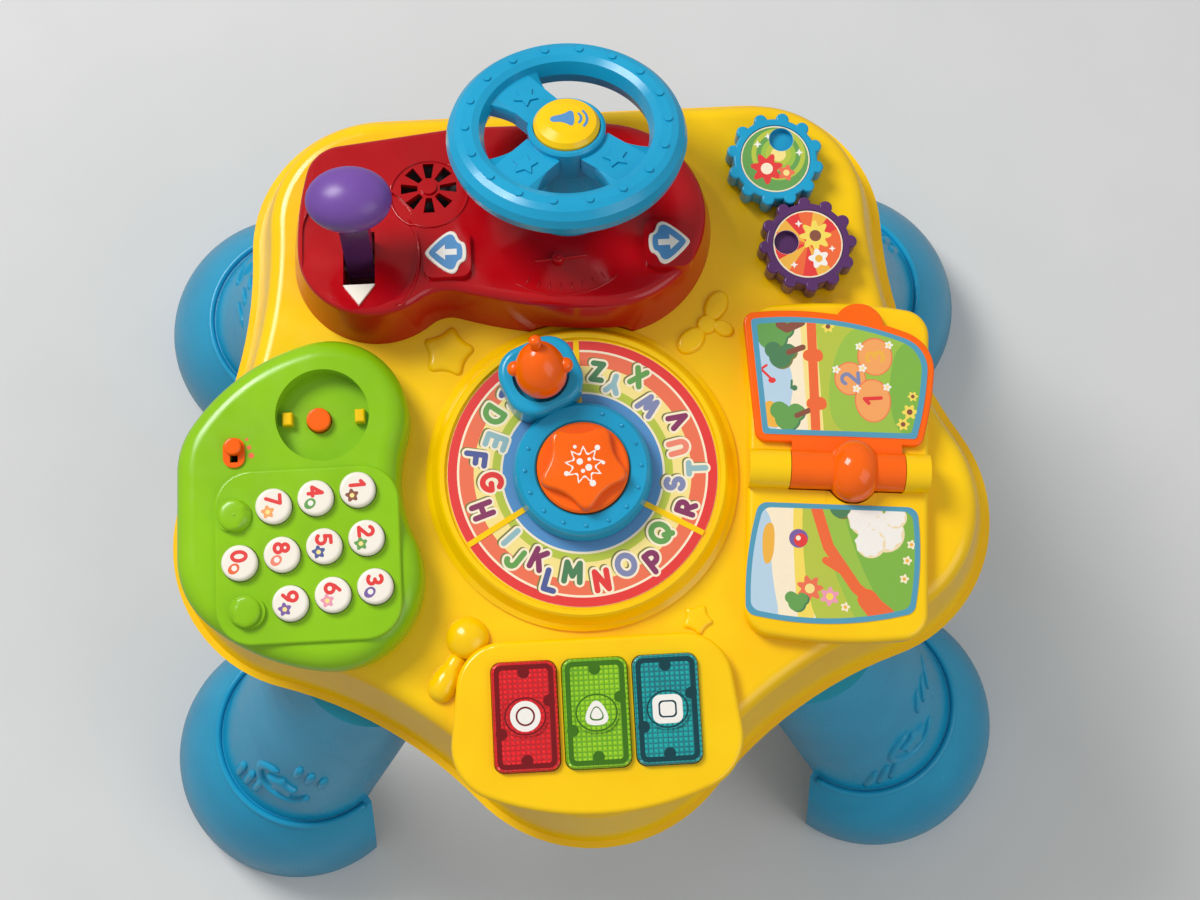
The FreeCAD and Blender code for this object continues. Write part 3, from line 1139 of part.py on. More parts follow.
def make_inside():
    low = -S.skirt_depth - S.cover_depth
    body = new_body("battery_door")
    block(body, 0, S.battery_y, S.box_wide - 2 * S.fit_gap, S.box_long - 2 * S.fit_gap, low,
          low + S.door_thick, 2)
    place(body)
    body = new_body("batteries")
    level = low + S.door_thick + S.battery_r + 0.4
    for step in (-1, 0, 1):
        cell = drawn(body, circle, step * S.battery_pitch, level, S.battery_r, plane="XZ",
                     height=-S.battery_y - S.battery_long / 2)
        pad(body, cell, S.battery_long)
    place(body)
    body = new_body("battery_contacts")
    for side in (-1, 1):
        wall_y = S.battery_y + side * (S.box_long / 2 - 0.3)
        for step in (-1, 0, 1):
            block(body, step * S.battery_pitch, wall_y, 9, 0.6, level - 4.5, level + 4.5)
            coil = drawn(body, circle, step * S.battery_pitch, level, 2.5, plane="XZ",
                         height=-wall_y - side * 0.3 if side < 0 else -wall_y + 0.3)
            pad(body, coil, (S.box_long - S.battery_long) / 2 - 0.7, down=side < 0)
    place(body)
    body = new_body("main_board")
    level = -S.wall - S.board_drop
    block(body, 0, S.board_y, 70, 44, level - S.board_thick, level, 2)
    for side_x in (-1, 1):
        for side_y in (-1, 1):
            disc(body, side_x * 30, S.board_y + side_y * 17, S.post_wide / 2, level, -S.wall)
    block(body, -12, S.board_y + 2, 14, 14, level - S.board_thick - 2.5, level - S.board_thick)
    block(body, 16, S.board_y - 6, 10, 16, level - S.board_thick - 2, level - S.board_thick)
    place(body)
    body = new_body("casing_screws")
    for index in range(len(SCREW_SPOTS)):
        x, y = screw_place(index)
        disc(body, x, y, S.screw_r, low + S.cover_depth / 2, -S.skirt_depth + 10)
        disc(body, x, y, S.screw_head_r, low + S.cover_depth / 2 - S.screw_head_high,
             low + S.cover_depth / 2)
    place(body)


def finish():
    """Checks every object and every sub-part, then writes one STEP file for each."""
    DOC.recompute()
    for thing in DOC.Objects:
        if "Invalid" in thing.State or "Error" in thing.State:
            raise RuntimeError("%s failed: %s" % (thing.Label, thing.getStatusString()))
    for body, feature in CUTS:
        if feature.Shape.Volume > feature.BaseFeature.Shape.Volume - 0.01:
            raise RuntimeError("%s in %s cuts nothing" % (feature.Name, body.Label))
    os.makedirs("parts", exist_ok=True)
    for thing in PIECES:
        if thing.Shape.isNull() or not thing.Shape.isValid() or not thing.Shape.Solids:
            raise RuntimeError("%s has no sound solid" % thing.Label)
        thing.Shape.exportStep("parts/%s.step" % thing.Label)
        box = thing.Shape.BoundBox
        print("%-22s %d solid, %9.0f mm3, x %7.1f %7.1f y %7.1f %7.1f z %6.1f %6.1f" % (
            thing.Label, len(thing.Shape.Solids), thing.Shape.Volume, box.XMin, box.XMax,
            box.YMin, box.YMax, box.ZMin, box.ZMax))


for make in (make_top_shell, make_bottom_cover, make_legs, make_letter_pieces, make_spinner,
             make_pod_figure, make_star_button, make_dashboard, make_turn_signs, make_shift_marker,
             make_speaker, make_steering, make_lever, make_gears, make_phone, make_keys,
             make_light_keys, make_book, make_inside, finish):
    make()
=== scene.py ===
# %% [markdown]
# # Dressing a musical activity table
#
# The solids of the table come in as a fixed frame. This lesson gives each solid the surface that
# the real part has, and adds what a moulding tool or a printer adds: letters, pictures, raised
# patterns and the prisms under the clear keys. All sizes are in millimetres until the last
# moment, because that is how a toy is measured.

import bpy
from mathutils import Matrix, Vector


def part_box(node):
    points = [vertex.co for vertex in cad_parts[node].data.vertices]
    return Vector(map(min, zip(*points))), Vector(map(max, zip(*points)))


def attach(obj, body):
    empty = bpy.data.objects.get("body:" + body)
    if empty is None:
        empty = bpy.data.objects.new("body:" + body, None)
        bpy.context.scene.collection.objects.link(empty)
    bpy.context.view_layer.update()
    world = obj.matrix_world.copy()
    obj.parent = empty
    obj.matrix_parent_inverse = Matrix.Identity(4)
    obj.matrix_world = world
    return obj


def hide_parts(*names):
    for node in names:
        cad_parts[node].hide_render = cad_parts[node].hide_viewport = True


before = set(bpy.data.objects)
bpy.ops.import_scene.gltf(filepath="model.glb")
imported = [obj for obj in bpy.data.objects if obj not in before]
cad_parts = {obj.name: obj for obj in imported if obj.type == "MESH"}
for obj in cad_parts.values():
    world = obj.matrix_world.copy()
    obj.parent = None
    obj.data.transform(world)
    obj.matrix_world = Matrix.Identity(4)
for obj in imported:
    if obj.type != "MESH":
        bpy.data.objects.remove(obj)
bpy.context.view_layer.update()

# %% Tools for the whole lesson
import math

import bmesh
import bpy
from mathutils import Matrix, Vector
from mathutils.bvhtree import BVHTree
from mathutils.geometry import convex_hull_2d, delaunay_2d_cdt

MM = 0.001
DECK_SPOT = Vector((0, -18, 300))
DECK = Matrix.Translation(DECK_SPOT * MM)
print("the deck's own frame stands at", tuple(DECK_SPOT), "mm")

# %% [markdown]
# ## Colours and shader nodes
#
# A colour given here is an sRGB value, but a renderer adds light in linear numbers, so every
# hex value goes through one function. A material is a small graph of nodes. One helper adds a
# node, fills its sockets and draws its links. The short ones after it name what every recipe
# here repeats, so that a recipe reads from top to bottom.

# %% Colour and node helpers


def linear(code):
    """A hex colour such as #ffcc00 as the linear numbers that a shader needs."""
    parts = [int(code[i:i + 2], 16) / 255 for i in (1, 3, 5)]
    return tuple(c / 12.92 if c < 0.04045 else ((c + 0.055) / 1.055) ** 2.4 for c in parts) + (1,)


def add(material, kind, sockets=(), **settings):
    """Adds a shader node; a socket's value is a number, a colour or another node's output."""
    tree = material.node_tree
    node = tree.nodes.new("ShaderNode" + kind)
    for name, value in settings.items():
        setattr(node, name, value)
    for key, value in dict(sockets).items():
        if isinstance(value, bpy.types.NodeSocket):
            tree.links.new(value, node.inputs[key])
        else:
            node.inputs[key].default_value = value
    return node

def start_material(name, **surface):
    """A new material, its shader with plain numbers set on it, and the object's coordinates."""
    material = bpy.data.materials.new(name)
    material.use_nodes = True
    shader = material.node_tree.nodes["Principled BSDF"]
    for key, value in surface.items():
        shader.inputs[key.replace("_", " ")].default_value = value
    return material, shader, add(material, "TexCoord").outputs["Object"]


def feed(shader, **outputs):
    """Links other nodes' outputs into the shader's sockets."""
    for key, output in outputs.items():
        shader.id_data.links.new(output, shader.inputs[key.replace("_", " ")])


def per_mm(millimetres):
    """A texture's scale, from the size that one of its spots has on the object."""
    return 1 / (millimetres * MM)


def noise(material, where, size, detail):
    """Grey noise with spots of about that size in millimetres."""
    return add(material, "TexNoise", {"Vector": where, "Scale": per_mm(size),
                                      "Detail": detail}).outputs["Fac"]


def stretch(material, value, low, high, to_low=0, to_high=1):
    """Moves one range of a grey to another."""
    return add(material, "MapRange", {"Value": value, "From Min": low, "From Max": high,
                                      "To Min": to_low, "To Max": to_high}).outputs[0]


def combine(material, operation, first, second):
    """One number from two, such as their product."""
    return add(material, "Math", {0: first, 1: second}, operation=operation).outputs[0]


def blend(material, grey, first, second):
    """A colour between two: the first where the grey is dark, the second where it is light."""
    return add(material, "Mix", {"Factor": grey, "A": first, "B": second},
               data_type="RGBA").outputs["Result"]


def bump(material, grey, strength, high):
    """A swell of the surface by a grey, at most some millimetres high."""
    return add(material, "Bump", {"Height": grey, "Strength": strength,
                                  "Distance": high * MM}).outputs[0]


print("a spot of 35 mm is a scale of", per_mm(35))

# %% [markdown]
# ## Moulded ABS
#
# Deck, legs, wheel, telephone and knobs are injection moulded from ABS. The steel tool is
# polished, so the skin is glossy, but it is never quite even: the melt cools into faint waves
# about four millimetres long, the pigment drifts over a few centimetres, and years of hands dull
# the gloss in patches about a centimetre wide. ABS has an IOR of about 1.53. Three noise
# textures do this work: one shifts the colour a little, one the roughness, one the height.

# %% Moulded ABS


def moulded_abs(name, code, deeper, roughness):
    """Polished injection-moulded ABS in one colour, with a deeper tone where pigment gathers."""
    material, shader, where = start_material(name, IOR=1.53, Specular_IOR_Level=0.36)
    tone = stretch(material, noise(material, where, 38, 3), 0.35, 0.75, 0, 0.55)
    gloss = stretch(material, noise(material, where, 11, 4), 0.3, 0.7,
                    roughness - 0.04, roughness + 0.08)
    feed(shader, Base_Color=blend(material, tone, linear(code), linear(deeper)),
         Roughness=gloss, Normal=bump(material, noise(material, where, 4, 1), 0.05, 0.05))
    return material


finishes = {
    "yellow": moulded_abs("yellow_abs", "#ffcf00", "#f7ba00", 0.18),
    "blue": moulded_abs("blue_abs", "#1aa0cb", "#108cb6", 0.2),
    "red": moulded_abs("red_abs", "#b9050f", "#9e030b", 0.14),
    "green": moulded_abs("green_abs", "#8fc710", "#7cb20b", 0.2),
    "orange": moulded_abs("orange_abs", "#ff6800", "#f25800", 0.15),
    "violet": moulded_abs("violet_abs", "#764ea2", "#644090", 0.3),
    "plum": moulded_abs("plum_abs", "#5a3066", "#492750", 0.24),
    "cream": moulded_abs("white_abs", "#f6eee0", "#ede2d0", 0.2),
}
print("moulded finishes:", sorted(finishes))

# %% [markdown]
# ## Clear polycarbonate with prisms
#
# The three long keys are clear coloured polycarbonate, IOR 1.585, with rows of small pyramids
# moulded under the top so that a lamp's light spreads. The top itself is smooth. In the shader,
# two triangle waves 2.2 mm long make the pyramids, which tilt the base. Their height, broken by
# noise, also paints light into the colour: a painted glint on each peak and painted shade at its
# foot. A clear coat keeps the smooth top's reflections whole.

# %% Prism plastic
PRISM = 2.2 * MM
CLEAR_IOR = 1.585


def prism_polycarbonate(name, glint_colour, shade_colour):
    """Clear coloured polycarbonate with pyramids under a smooth top, with glint and shade painted
    on them.
    """
    material, shader, where = start_material(
        name, IOR=CLEAR_IOR, Roughness=0.2, Coat_Weight=0.5, Coat_Roughness=0.03,
        Coat_IOR=CLEAR_IOR, Specular_IOR_Level=0.3, Transmission_Weight=0.05)
    along = add(material, "SeparateXYZ", {"Vector": where})
    waves = [combine(material, "PINGPONG", along.outputs[axis], PRISM / 2) for axis in "XY"]
    height = stretch(material, combine(material, "MINIMUM", *waves), 0, PRISM / 2)
    # Painted glint and shade: each pyramid's peak, where the noise is high, takes the glint colour,
    # and its foot the shade colour.
    light = combine(material, "MULTIPLY", height, noise(material, where, 16, 2))
    tone = stretch(material, light, 0.02, 0.3)
    feed(shader, Base_Color=blend(material, tone, linear(shade_colour), linear(glint_colour)),
         Normal=bump(material, height, 0.8, 0.7))
    return material


finishes["clear_red"] = prism_polycarbonate("red_polycarbonate", "#ff0a1c", "#c4000c")
finishes["clear_green"] = prism_polycarbonate("green_polycarbonate", "#a4de10", "#62a804")
finishes["clear_teal"] = prism_polycarbonate("teal_polycarbonate", "#00b4b0", "#006e7a")


def smooth_polycarbonate(name, code):
    """The same plastic where no prisms lie under it: rims, posts and the raised oval."""
    material, shader, where = start_material(name, IOR=CLEAR_IOR, Roughness=0.1,
                                             Transmission_Weight=0.1, Specular_IOR_Level=0.4)
    tones = add(material, "ValToRGB", {"Fac": noise(material, where, 9, 2)})
    tones.color_ramp.elements[0].color = [c * 0.7 for c in linear(code)[:3]] + [1]
    tones.color_ramp.elements[1].color = linear(code)
    feed(shader, Base_Color=tones.outputs["Color"])
    return material


clear_rims = {"red": smooth_polycarbonate("red_clear_rim", "#86000c"),
              "green": smooth_polycarbonate("green_clear_rim", "#447f08"),
              "teal": smooth_polycarbonate("teal_clear_rim", "#00464f")}
print("clear finishes made")

# %% [markdown]
# ## Metal, boards, cells and rubber
#
# Inside the deck are parts that show only when it is opened: zinc-plated steel screws and pins,
# green circuit boards with a woven glass core, dark speaker and battery jackets, and the grey
# silicone mat under the telephone keys. Each gets the pattern that its making leaves.

# %% Inner materials


def patterned(name, kind, sockets, light, dark, high, **surface):
    """A surface whose colour and height both come from one texture."""
    material, shader, where = start_material(name, **surface)
    grey = add(material, kind, {"Vector": where, **sockets}).outputs[0]
    feed(shader, Base_Color=blend(material, grey, linear(dark), linear(light)),
         Normal=bump(material, grey, 0.4, high))
    return material


finishes["steel"] = patterned("zinc_plated_steel", "TexNoise",
                              {"Scale": per_mm(0.8), "Detail": 3},
                              "#c4c6c9", "#8e9196", 0.02, Metallic=1.0, Roughness=0.32)
finishes["board"] = patterned("glass_fibre_board", "TexWave",
                              {"Scale": per_mm(12), "Distortion": 0.5},
                              "#1f6b3a", "#185430", 0.02, Roughness=0.4)
finishes["dark"] = patterned("black_jacket", "TexNoise", {"Scale": per_mm(1.5), "Detail": 2},
                             "#2a2b2e", "#1c1d1f", 0.05, Roughness=0.5)
finishes["rubber"] = patterned("silicone_rubber", "TexNoise", {"Scale": per_mm(0.6), "Detail": 2},
                               "#c8c9ca", "#b4b6b8", 0.05, Roughness=0.75)
print("inner finishes made")

# %% [markdown]
# ## Printed film
#
# The pictures are litho printed on paper and laminated with polypropylene film, so each ink is
# the same semi-gloss surface. Litho inks are rows of dots: at 60 lines to the centimetre they
# are far too fine to show, so they are drawn coarser, 0.8 mm, as a very light mottle.

# %% Inks


def printed_film(name, code):
    """One litho ink under a laminating film."""
    material, shader, where = start_material(name, IOR=1.49, Roughness=0.34, Coat_Weight=0.35,
                                             Coat_Roughness=0.12)
    dots = add(material, "TexVoronoi", {"Vector": where, "Scale": per_mm(0.8)})
    mottle = combine(material, "MULTIPLY", dots.outputs["Distance"], noise(material, where, 14, 2))
    paler = [min(1, c * 0.86 + 0.035) for c in linear(code)[:3]] + [1]
    feed(shader, Base_Color=blend(material, mottle, linear(code), paler))
    return material


INK_CODES = {
    "cream": "#fdeccb", "white": "#f6f1e8", "red": "#e8302c", "salmon": "#f2704a",
    "coral": "#f6856a", "lime": "#b9c63c", "leaf": "#63a04a", "forest": "#477f50",
    "grass": "#9cc23e", "meadow": "#7fb53c", "sky": "#b9d3e4", "blue": "#4f8fc6",
    "border": "#4b9bb8", "indigo": "#4c5896", "periwinkle": "#8187ad", "plum": "#87295c",
    "mist": "#93b9bd", "sun": "#f9dc58", "butter": "#fbe38a", "orange": "#f2662a",
    "peach": "#f8a55a", "brown": "#8a4a33", "olive": "#7d7a3a", "pink": "#f29bb0",
    "violet": "#7a5aa0", "sand": "#f4ddb0", "gold": "#f4b43a",
}
inks = {name: printed_film("ink_" + name, code) for name, code in INK_CODES.items()}
finishes["print"] = inks["cream"]

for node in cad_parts.values():
    for place in node.material_slots:
        place.material = finishes[place.material.name.split(".")[0]]
print("inks:", len(inks), "and every solid has a finish")

# %% [markdown]
# ## Flat shapes
#
# Most of the decoration is flat artwork, like paper cut-outs laid one on another. A shape is an
# ink and a closed run of points in millimetres, and a picture is a list of shapes from the back
# to the front.

# %% Shape makers


def polar(degrees, radius=1):
    """The flat point at an angle and a distance from the middle."""
    a = math.radians(degrees)
    return radius * math.cos(a), radius * math.sin(a)


def placed(points, x, y, turn=0):
    """Flat points turned by some degrees and then moved."""
    c, s = polar(turn)
    return [(x + px * c - py * s, y + px * s + py * c) for px, py in points]


def bow(x, y, wide, high, start, stop, step=20):
    """Points along part of an ellipse, from one angle to another."""
    count = max(3, round(abs(stop - start) / step))
    ring = (polar(start + (stop - start) * i / count) for i in range(count + 1))
    return [(x + wide * c, y + high * s) for c, s in ring]


def oval(x, y, wide, high=None, turn=0, count=32):
    """Points round an ellipse, by its middle and half sizes."""
    ring = (polar(360 * i / count) for i in range(count))
    return placed([(wide * c, (high or wide) * s) for c, s in ring], x, y, turn)


def block(left, low, right, high):
    """The corners of a rectangle."""
    return [(left, low), (right, low), (right, high), (left, high)]


def scalloped(x, y, outer, inner, count, turn=90, sharp=1.0, steps=8):
    """A star or flower: the radius swings between outer and inner; sharp above 1 is pointed."""
    points = []
    for i in range(count * steps):
        swing = (0.5 + 0.5 * math.cos(2 * math.pi * i / steps)) ** sharp
        points.append(polar(turn + 360 * i / steps / count, inner + (outer - inner) * swing))
    return placed(points, x, y)


def star_points(x, y, outer, inner, count=5, turn=90):
    """A star with straight sides."""
    return placed([polar(turn + 180 * i / count, inner if i % 2 else outer)
                   for i in range(2 * count)], x, y)


def soft(points, times=3):
    """Rounds the corners of a closed outline by cutting them again and again."""
    for _ in range(times):
        cut = []
        for (ax, ay), (bx, by) in zip(points, points[1:] + points[:1]):
            cut += [(ax * 0.75 + bx * 0.25, ay * 0.75 + by * 0.25),
                    (ax * 0.25 + bx * 0.75, ay * 0.25 + by * 0.75)]
        points = cut
    return points


def pen(points, width, count=7):
    """A line drawn with a round pen: one round-ended bar for each straight run."""
    cap = [polar(180 * i / (count - 1) - 90, width / 2) for i in range(count)]
    bars = []
    for (ax, ay), (bx, by) in zip(points, points[1:]):
        heading = math.degrees(math.atan2(by - ay, bx - ax))
        bars.append(placed(cap, bx, by, heading) + placed(cap, ax, ay, heading + 180))
    return bars


def line(points, width, ink):
    """A pen line in one ink, as shapes."""
    return [(ink, bar) for bar in pen(points, width)]


print("a five-pointed star has", len(star_points(0, 0, 10, 5)), "corners")

# %% [markdown]
# ## Laying shapes on a surface
#
# A print or a raised pattern follows what carries it. Each piece is drawn in its own flat
# frame, in millimetres, and every point is then dropped straight along the frame's own axis
# until it meets the solid, as film does in a vacuum press. A BVH tree finds that meeting
# point fast. Large shapes on a curved face are cut finer first, so that they can bend.
# Overlapping shapes could be stacked, but thin stacks flicker. A Delaunay triangulation cuts
# them all into one sheet instead, and each triangle takes the ink that lies on top.

# %% Lay a mesh on a solid
REACH = 60
FINEST = 1.2
skins = {}


def skin_of(names):
    """A search tree over the surfaces of the named solids."""
    if names not in skins:
        points, faces = [], []
        for name in names:
            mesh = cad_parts[name].data
            first = len(points)
            points += [v.co.copy() for v in mesh.vertices]
            faces += [[first + i for i in p.vertices] for p in mesh.polygons]
        skins[names] = BVHTree.FromPolygons(points, faces)
    return skins[names]


def frame_at(x, y, z, up=(0, 0, 1), north=(0, 1, 0)):
    """A drawing frame: its origin in deck millimetres, its own axis and its upward direction."""
    normal = Vector(up).normalized()
    east = Vector(north).cross(normal).normalized()
    axes = Matrix((east, normal.cross(east), normal)).transposed().to_4x4()
    return DECK @ Matrix.Translation(Vector((x, y, z)) * MM) @ axes @ Matrix.Scale(MM, 4)


def finish_piece(name, mesh, body, materials, smooth=False):
    """Turns a bmesh into a named piece that rides on a body."""
    data = bpy.data.meshes.new(name)
    mesh.to_mesh(data)
    mesh.free()
    for material in materials:
        data.materials.append(material)
    data.polygons.foreach_set("use_smooth", [smooth] * len(data.polygons))
    thing = bpy.data.objects.new(name, data)
    bpy.context.scene.collection.objects.link(thing)
    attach(thing, body)
    return thing


def lay(mesh, drawing, onto):
    """Moves each point from its drawing frame to the world, dropped on the named solids."""
    down = (drawing.to_3x3() @ Vector((0, 0, -1))).normalized()
    for v in mesh.verts:
        lift = v.co.z
        if onto:
            above = drawing @ Vector((v.co.x, v.co.y, REACH))
            hit = skin_of(onto).ray_cast(above, down)[0]
            v.co = (hit if hit else drawing @ Vector((v.co.x, v.co.y, 0))) - down * lift * MM
        else:
            v.co = drawing @ v.co


def flat_print(shapes, window=None):
    """Merges overlapping shapes into one sheet of triangles, each with the ink on top.

    An ink of None leaves a hole. A window keeps all but the first shape inside one outline.
    """
    if window:
        shapes = [shapes[0], (shapes[0][0], window)] + shapes[1:]
    points, rings = [], []
    for _, ring in shapes:
        area = sum(ax * by - bx * ay for (ax, ay), (bx, by) in zip(ring, ring[1:] + ring[:1]))
        rings.append(list(range(len(points), len(points) + len(ring))))
        points += [Vector(p) for p in (ring if area > 0 else ring[::-1])]
    spots, _, faces, _, _, owners = delaunay_2d_cdt(points, [], rings, 1, 1e-4, True)
    inked = []
    for face, over in zip(faces, owners):
        if not over or window and 0 not in over:
            continue
        ink = shapes[0 if window and 1 not in over else max(over)][0]
        if ink:
            inked.append((face, ink))
    return spots, inked


def print_on(name, body, drawing, shapes, onto=(), window=None, finer=0, lift=0.05):
    """One printed sheet, laid on the named solids."""
    spots, inked = flat_print(shapes, window)
    used = sorted({ink for _, ink in inked})
    mesh = bmesh.new()
    corners = [mesh.verts.new((p.x, p.y, lift)) for p in spots]
    for ring, ink in inked:
        mesh.faces.new([corners[i] for i in ring]).material_index = used.index(ink)
    bmesh.ops.delete(mesh, geom=[v for v in mesh.verts if not v.link_faces], context="VERTS")
    for _ in range(finer):
        long_edges = [e for e in mesh.edges if e.calc_length() > FINEST]
        bmesh.ops.subdivide_edges(mesh, edges=long_edges, cuts=1, use_grid_fill=True)
        bmesh.ops.triangulate(mesh, faces=mesh.faces[:])
    lay(mesh, drawing, onto)
    return finish_piece(name, mesh, body, [inks[ink] for ink in used])


SOFT_EDGE = ((1.02, -0.3), (0.97, 0.45), (0.87, 0.85), (0.7, 1))
CRISP_EDGE = ((1, -0.8), (1, 0.75), (0.95, 1))
BEAD = ((-1, -0.3), (-0.8, 0.5), (-0.35, 0.93), (0.35, 0.93), (0.8, 0.5), (1, -0.3))


def sew(mesh, rings, closed=True, ends=(0, -1)):
    """Joins rings of points with faces and fills the ends that are named."""
    for a, b in zip(rings, rings[1:]):
        for k in range(0 if closed else 1, len(a)):
            mesh.faces.new((a[k - 1], a[k], b[k], b[k - 1]))
    for end in ends:
        mesh.faces.new(rings[end])


def moulded(name, mesh, body, colour, drawing=None, onto=()):
    """A smooth piece in one finish, its faces outward; with a drawing frame it is laid first."""
    bmesh.ops.recalc_face_normals(mesh, faces=mesh.faces)
    if drawing is not None:
        lay(mesh, drawing, onto)
    return finish_piece(name, mesh, body, [finishes[colour]], smooth=True)


def raised(name, body, drawing, outlines, colour, onto, high, edge=SOFT_EDGE):
    """Forms moulded on a surface: each outline shrinks to its middle as it rises."""
    mesh = bmesh.new()
    for ring in outlines:
        x, y = (sum(p[k] for p in ring) / len(ring) for k in (0, 1))
        sew(mesh, [[mesh.verts.new((x + (px - x) * share, y + (py - y) * share, up * high))
                    for px, py in ring] for share, up in edge], ends=(-1,))
    return moulded(name, mesh, body, colour, drawing, onto)


def beads(name, body, drawing, paths, colour, onto, wide, high):
    """Half-round ridges moulded along paths, pinched at both ends."""
    mesh = bmesh.new()
    for path in paths:
        rings = []
        for i, (x, y) in enumerate(path):
            (ax, ay), (bx, by) = path[max(i - 1, 0)], path[min(i + 1, len(path) - 1)]
            pinch = 0.5 if i in (0, len(path) - 1) else 1
            half = wide / 2 * pinch / math.hypot(bx - ax, by - ay)
            rings.append([mesh.verts.new((x + (ay - by) * half * side, y + (bx - ax) * half * side,
                                          up * high * pinch)) for side, up in BEAD])
        sew(mesh, rings, closed=False)
    return moulded(name, mesh, body, colour, drawing, onto)


def turned(mesh, place, profile, count=28):
    """Adds a turned form: profile is (radius, height) in millimetres, place its frame."""
    sew(mesh, [[mesh.verts.new(place @ Vector((x, y, z))) for x, y in oval(0, 0, r, count=count)]
               for r, z in profile])


def egg(radius, half, narrowing):
    """An egg's profile from its bottom to its top."""
    steps = [-0.995 + 1.99 * i / 14 for i in range(15)]
    return [(radius * math.sqrt(1 - t * t) * (1 - narrowing * t), half * t) for t in steps]


print("drawing tools ready")

# %% [markdown]
# ## A round pen alphabet
#
# The letters of the ring are drawn with a thick round pen, like the ones in a first reader. A
# built-in font has sharp corners, so each capital is given here as a few pen strokes on a grid
# one unit high, with round parts as arcs. The same pen draws the digits.

# %% Letters and digits

STROKES = {
    "A": [[(0, 0), (.35, 1), (.7, 0)], [(.14, .36), (.56, .36)]],
    "B": [[(.3, 0), (0, 0), (0, 1), *bow(.28, .76, .26, .24, 90, -90), (0, .52)],
          bow(.3, .26, .3, .26, 90, -90)],
    "C": [bow(.42, .5, .42, .5, 50, 310)],
    "D": [[(0, 0), (0, 1), *bow(.22, .5, .44, .5, 90, -90), (0, 0)]],
    "E": [[(.58, 0), (0, 0), (0, 1), (.58, 1)], [(0, .52), (.5, .52)]],
    "F": [[(0, 0), (0, 1), (.58, 1)], [(0, .52), (.48, .52)]],
    "G": [[*bow(.42, .5, .42, .5, 50, 345), (.82, .46), (.48, .46)]],
    "H": [[(0, 0), (0, 1)], [(.6, 0), (.6, 1)], [(0, .5), (.6, .5)]],
    "I": [[(0, 0), (0, 1)]],
    "J": [[(.5, 1), *bow(.24, .28, .26, .28, 0, -165)]],
    "K": [[(0, 0), (0, 1)], [(.56, 1), (.04, .45)], [(.22, .62), (.58, 0)]],
    "L": [[(0, 1), (0, 0), (.54, 0)]],
    "M": [[(0, 0), (.08, 1), (.42, .3), (.76, 1), (.84, 0)]],
    "N": [[(0, 0), (0, 1), (.62, 0), (.62, 1)]],
    "O": [bow(.44, .5, .44, .5, 0, 360)],
    "P": [[(0, 0), (0, 1), *bow(.26, .72, .3, .28, 90, -90), (0, .44)]],
    "Q": [bow(.44, .5, .44, .5, 0, 360), [(.5, .26), (.84, -.02)]],
    "R": [[(0, 0), (0, 1), *bow(.26, .72, .3, .28, 90, -90), (0, .44)], [(.24, .44), (.58, 0)]],
    "S": [[*bow(.3, .74, .28, .26, 45, 250), *bow(.3, .26, .3, .26, 80, -145)]],
    "T": [[(0, 1), (.66, 1)], [(.33, 1), (.33, 0)]],
    "U": [[(0, 1), *bow(.31, .32, .31, .32, 180, 360), (.62, 1)]],
    "V": [[(0, 1), (.34, 0), (.68, 1)]],
    "W": [[(0, 1), (.22, 0), (.46, .72), (.7, 0), (.92, 1)]],
    "X": [[(0, 0), (.62, 1)], [(0, 1), (.62, 0)]],
    "Y": [[(0, 1), (.33, .5), (.66, 1)], [(.33, .5), (.33, 0)]],
    "Z": [[(0, 1), (.6, 1), (0, 0), (.6, 0)]],
    "0": [bow(.32, .5, .32, .5, 0, 360)],
    "1": [[(.02, .76), (.3, 1), (.3, 0)]],
    "2": [[*bow(.3, .7, .3, .3, 160, -25), (0, 0), (.62, 0)]],
    "3": [[*bow(.28, .75, .28, .25, 140, -90), *bow(.28, .25, .31, .25, 90, -140)]],
    "4": [[(.46, 0), (.46, 1), (0, .3), (.64, .3)]],
    "5": [[(.55, 1), (.08, 1), (.04, .58), *bow(.26, .31, .33, .31, 115, -140)]],
    "6": [bow(.31, .3, .31, .3, 0, 360), [(.48, 1), (.14, .66), (.01, .34)]],
    "7": [[(0, 1), (.6, 1), (.2, 0)]],
    "8": [bow(.3, .76, .25, .24, 0, 360), bow(.3, .26, .31, .26, 0, 360)],
    "9": [bow(.31, .7, .31, .3, 0, 360), [(.61, .68), (.5, .34), (.16, 0)]],
}


def written(sign, x, y, high, turn, width, ink):
    """A sign in one ink, centred at x, y; turn is where its right-hand side points."""
    across = [p[0] for stroke in STROKES[sign] for p in stroke]
    middle = (max(across) + min(across)) / 2
    shapes = []
    for stroke in STROKES[sign]:
        sized = [((px - middle) * high, (py - 0.5) * high) for px, py in stroke]
        shapes += line(placed(sized, x, y, turn), width, ink)
    return shapes


print("signs in the alphabet:", len(STROKES))

# %% [markdown]
# ## The letter ring
#
# The ring is one printed disc under the turning hub. Its bands run round it: red, orange,
# yellow, lime and blue, with two thin cream lines. They could be rings cut to fit, but discs
# laid one on another, the widest first, need only a radius each, and the last one is a hole for
# the hub. On them stand the capitals in mixed colours, tops to the middle, each with a cream
# edge and a printed shadow. Those at the left and the near side are a little larger.

# %% Bands of the ring


BANDS = [("red", 59.9), ("cream", 55.8), ("salmon", 54.8), ("butter", 48.4), ("lime", 40.2),
         ("cream", 36.6), ("blue", 35.6), (None, 28.5)]
ring_bands = [(ink, oval(0, 0, radius, count=120)) for ink, radius in BANDS]
sheet_top = (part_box("letter_sheet")[1].z - 0.3) / MM
print("ring bands lie at deck height", sheet_top)

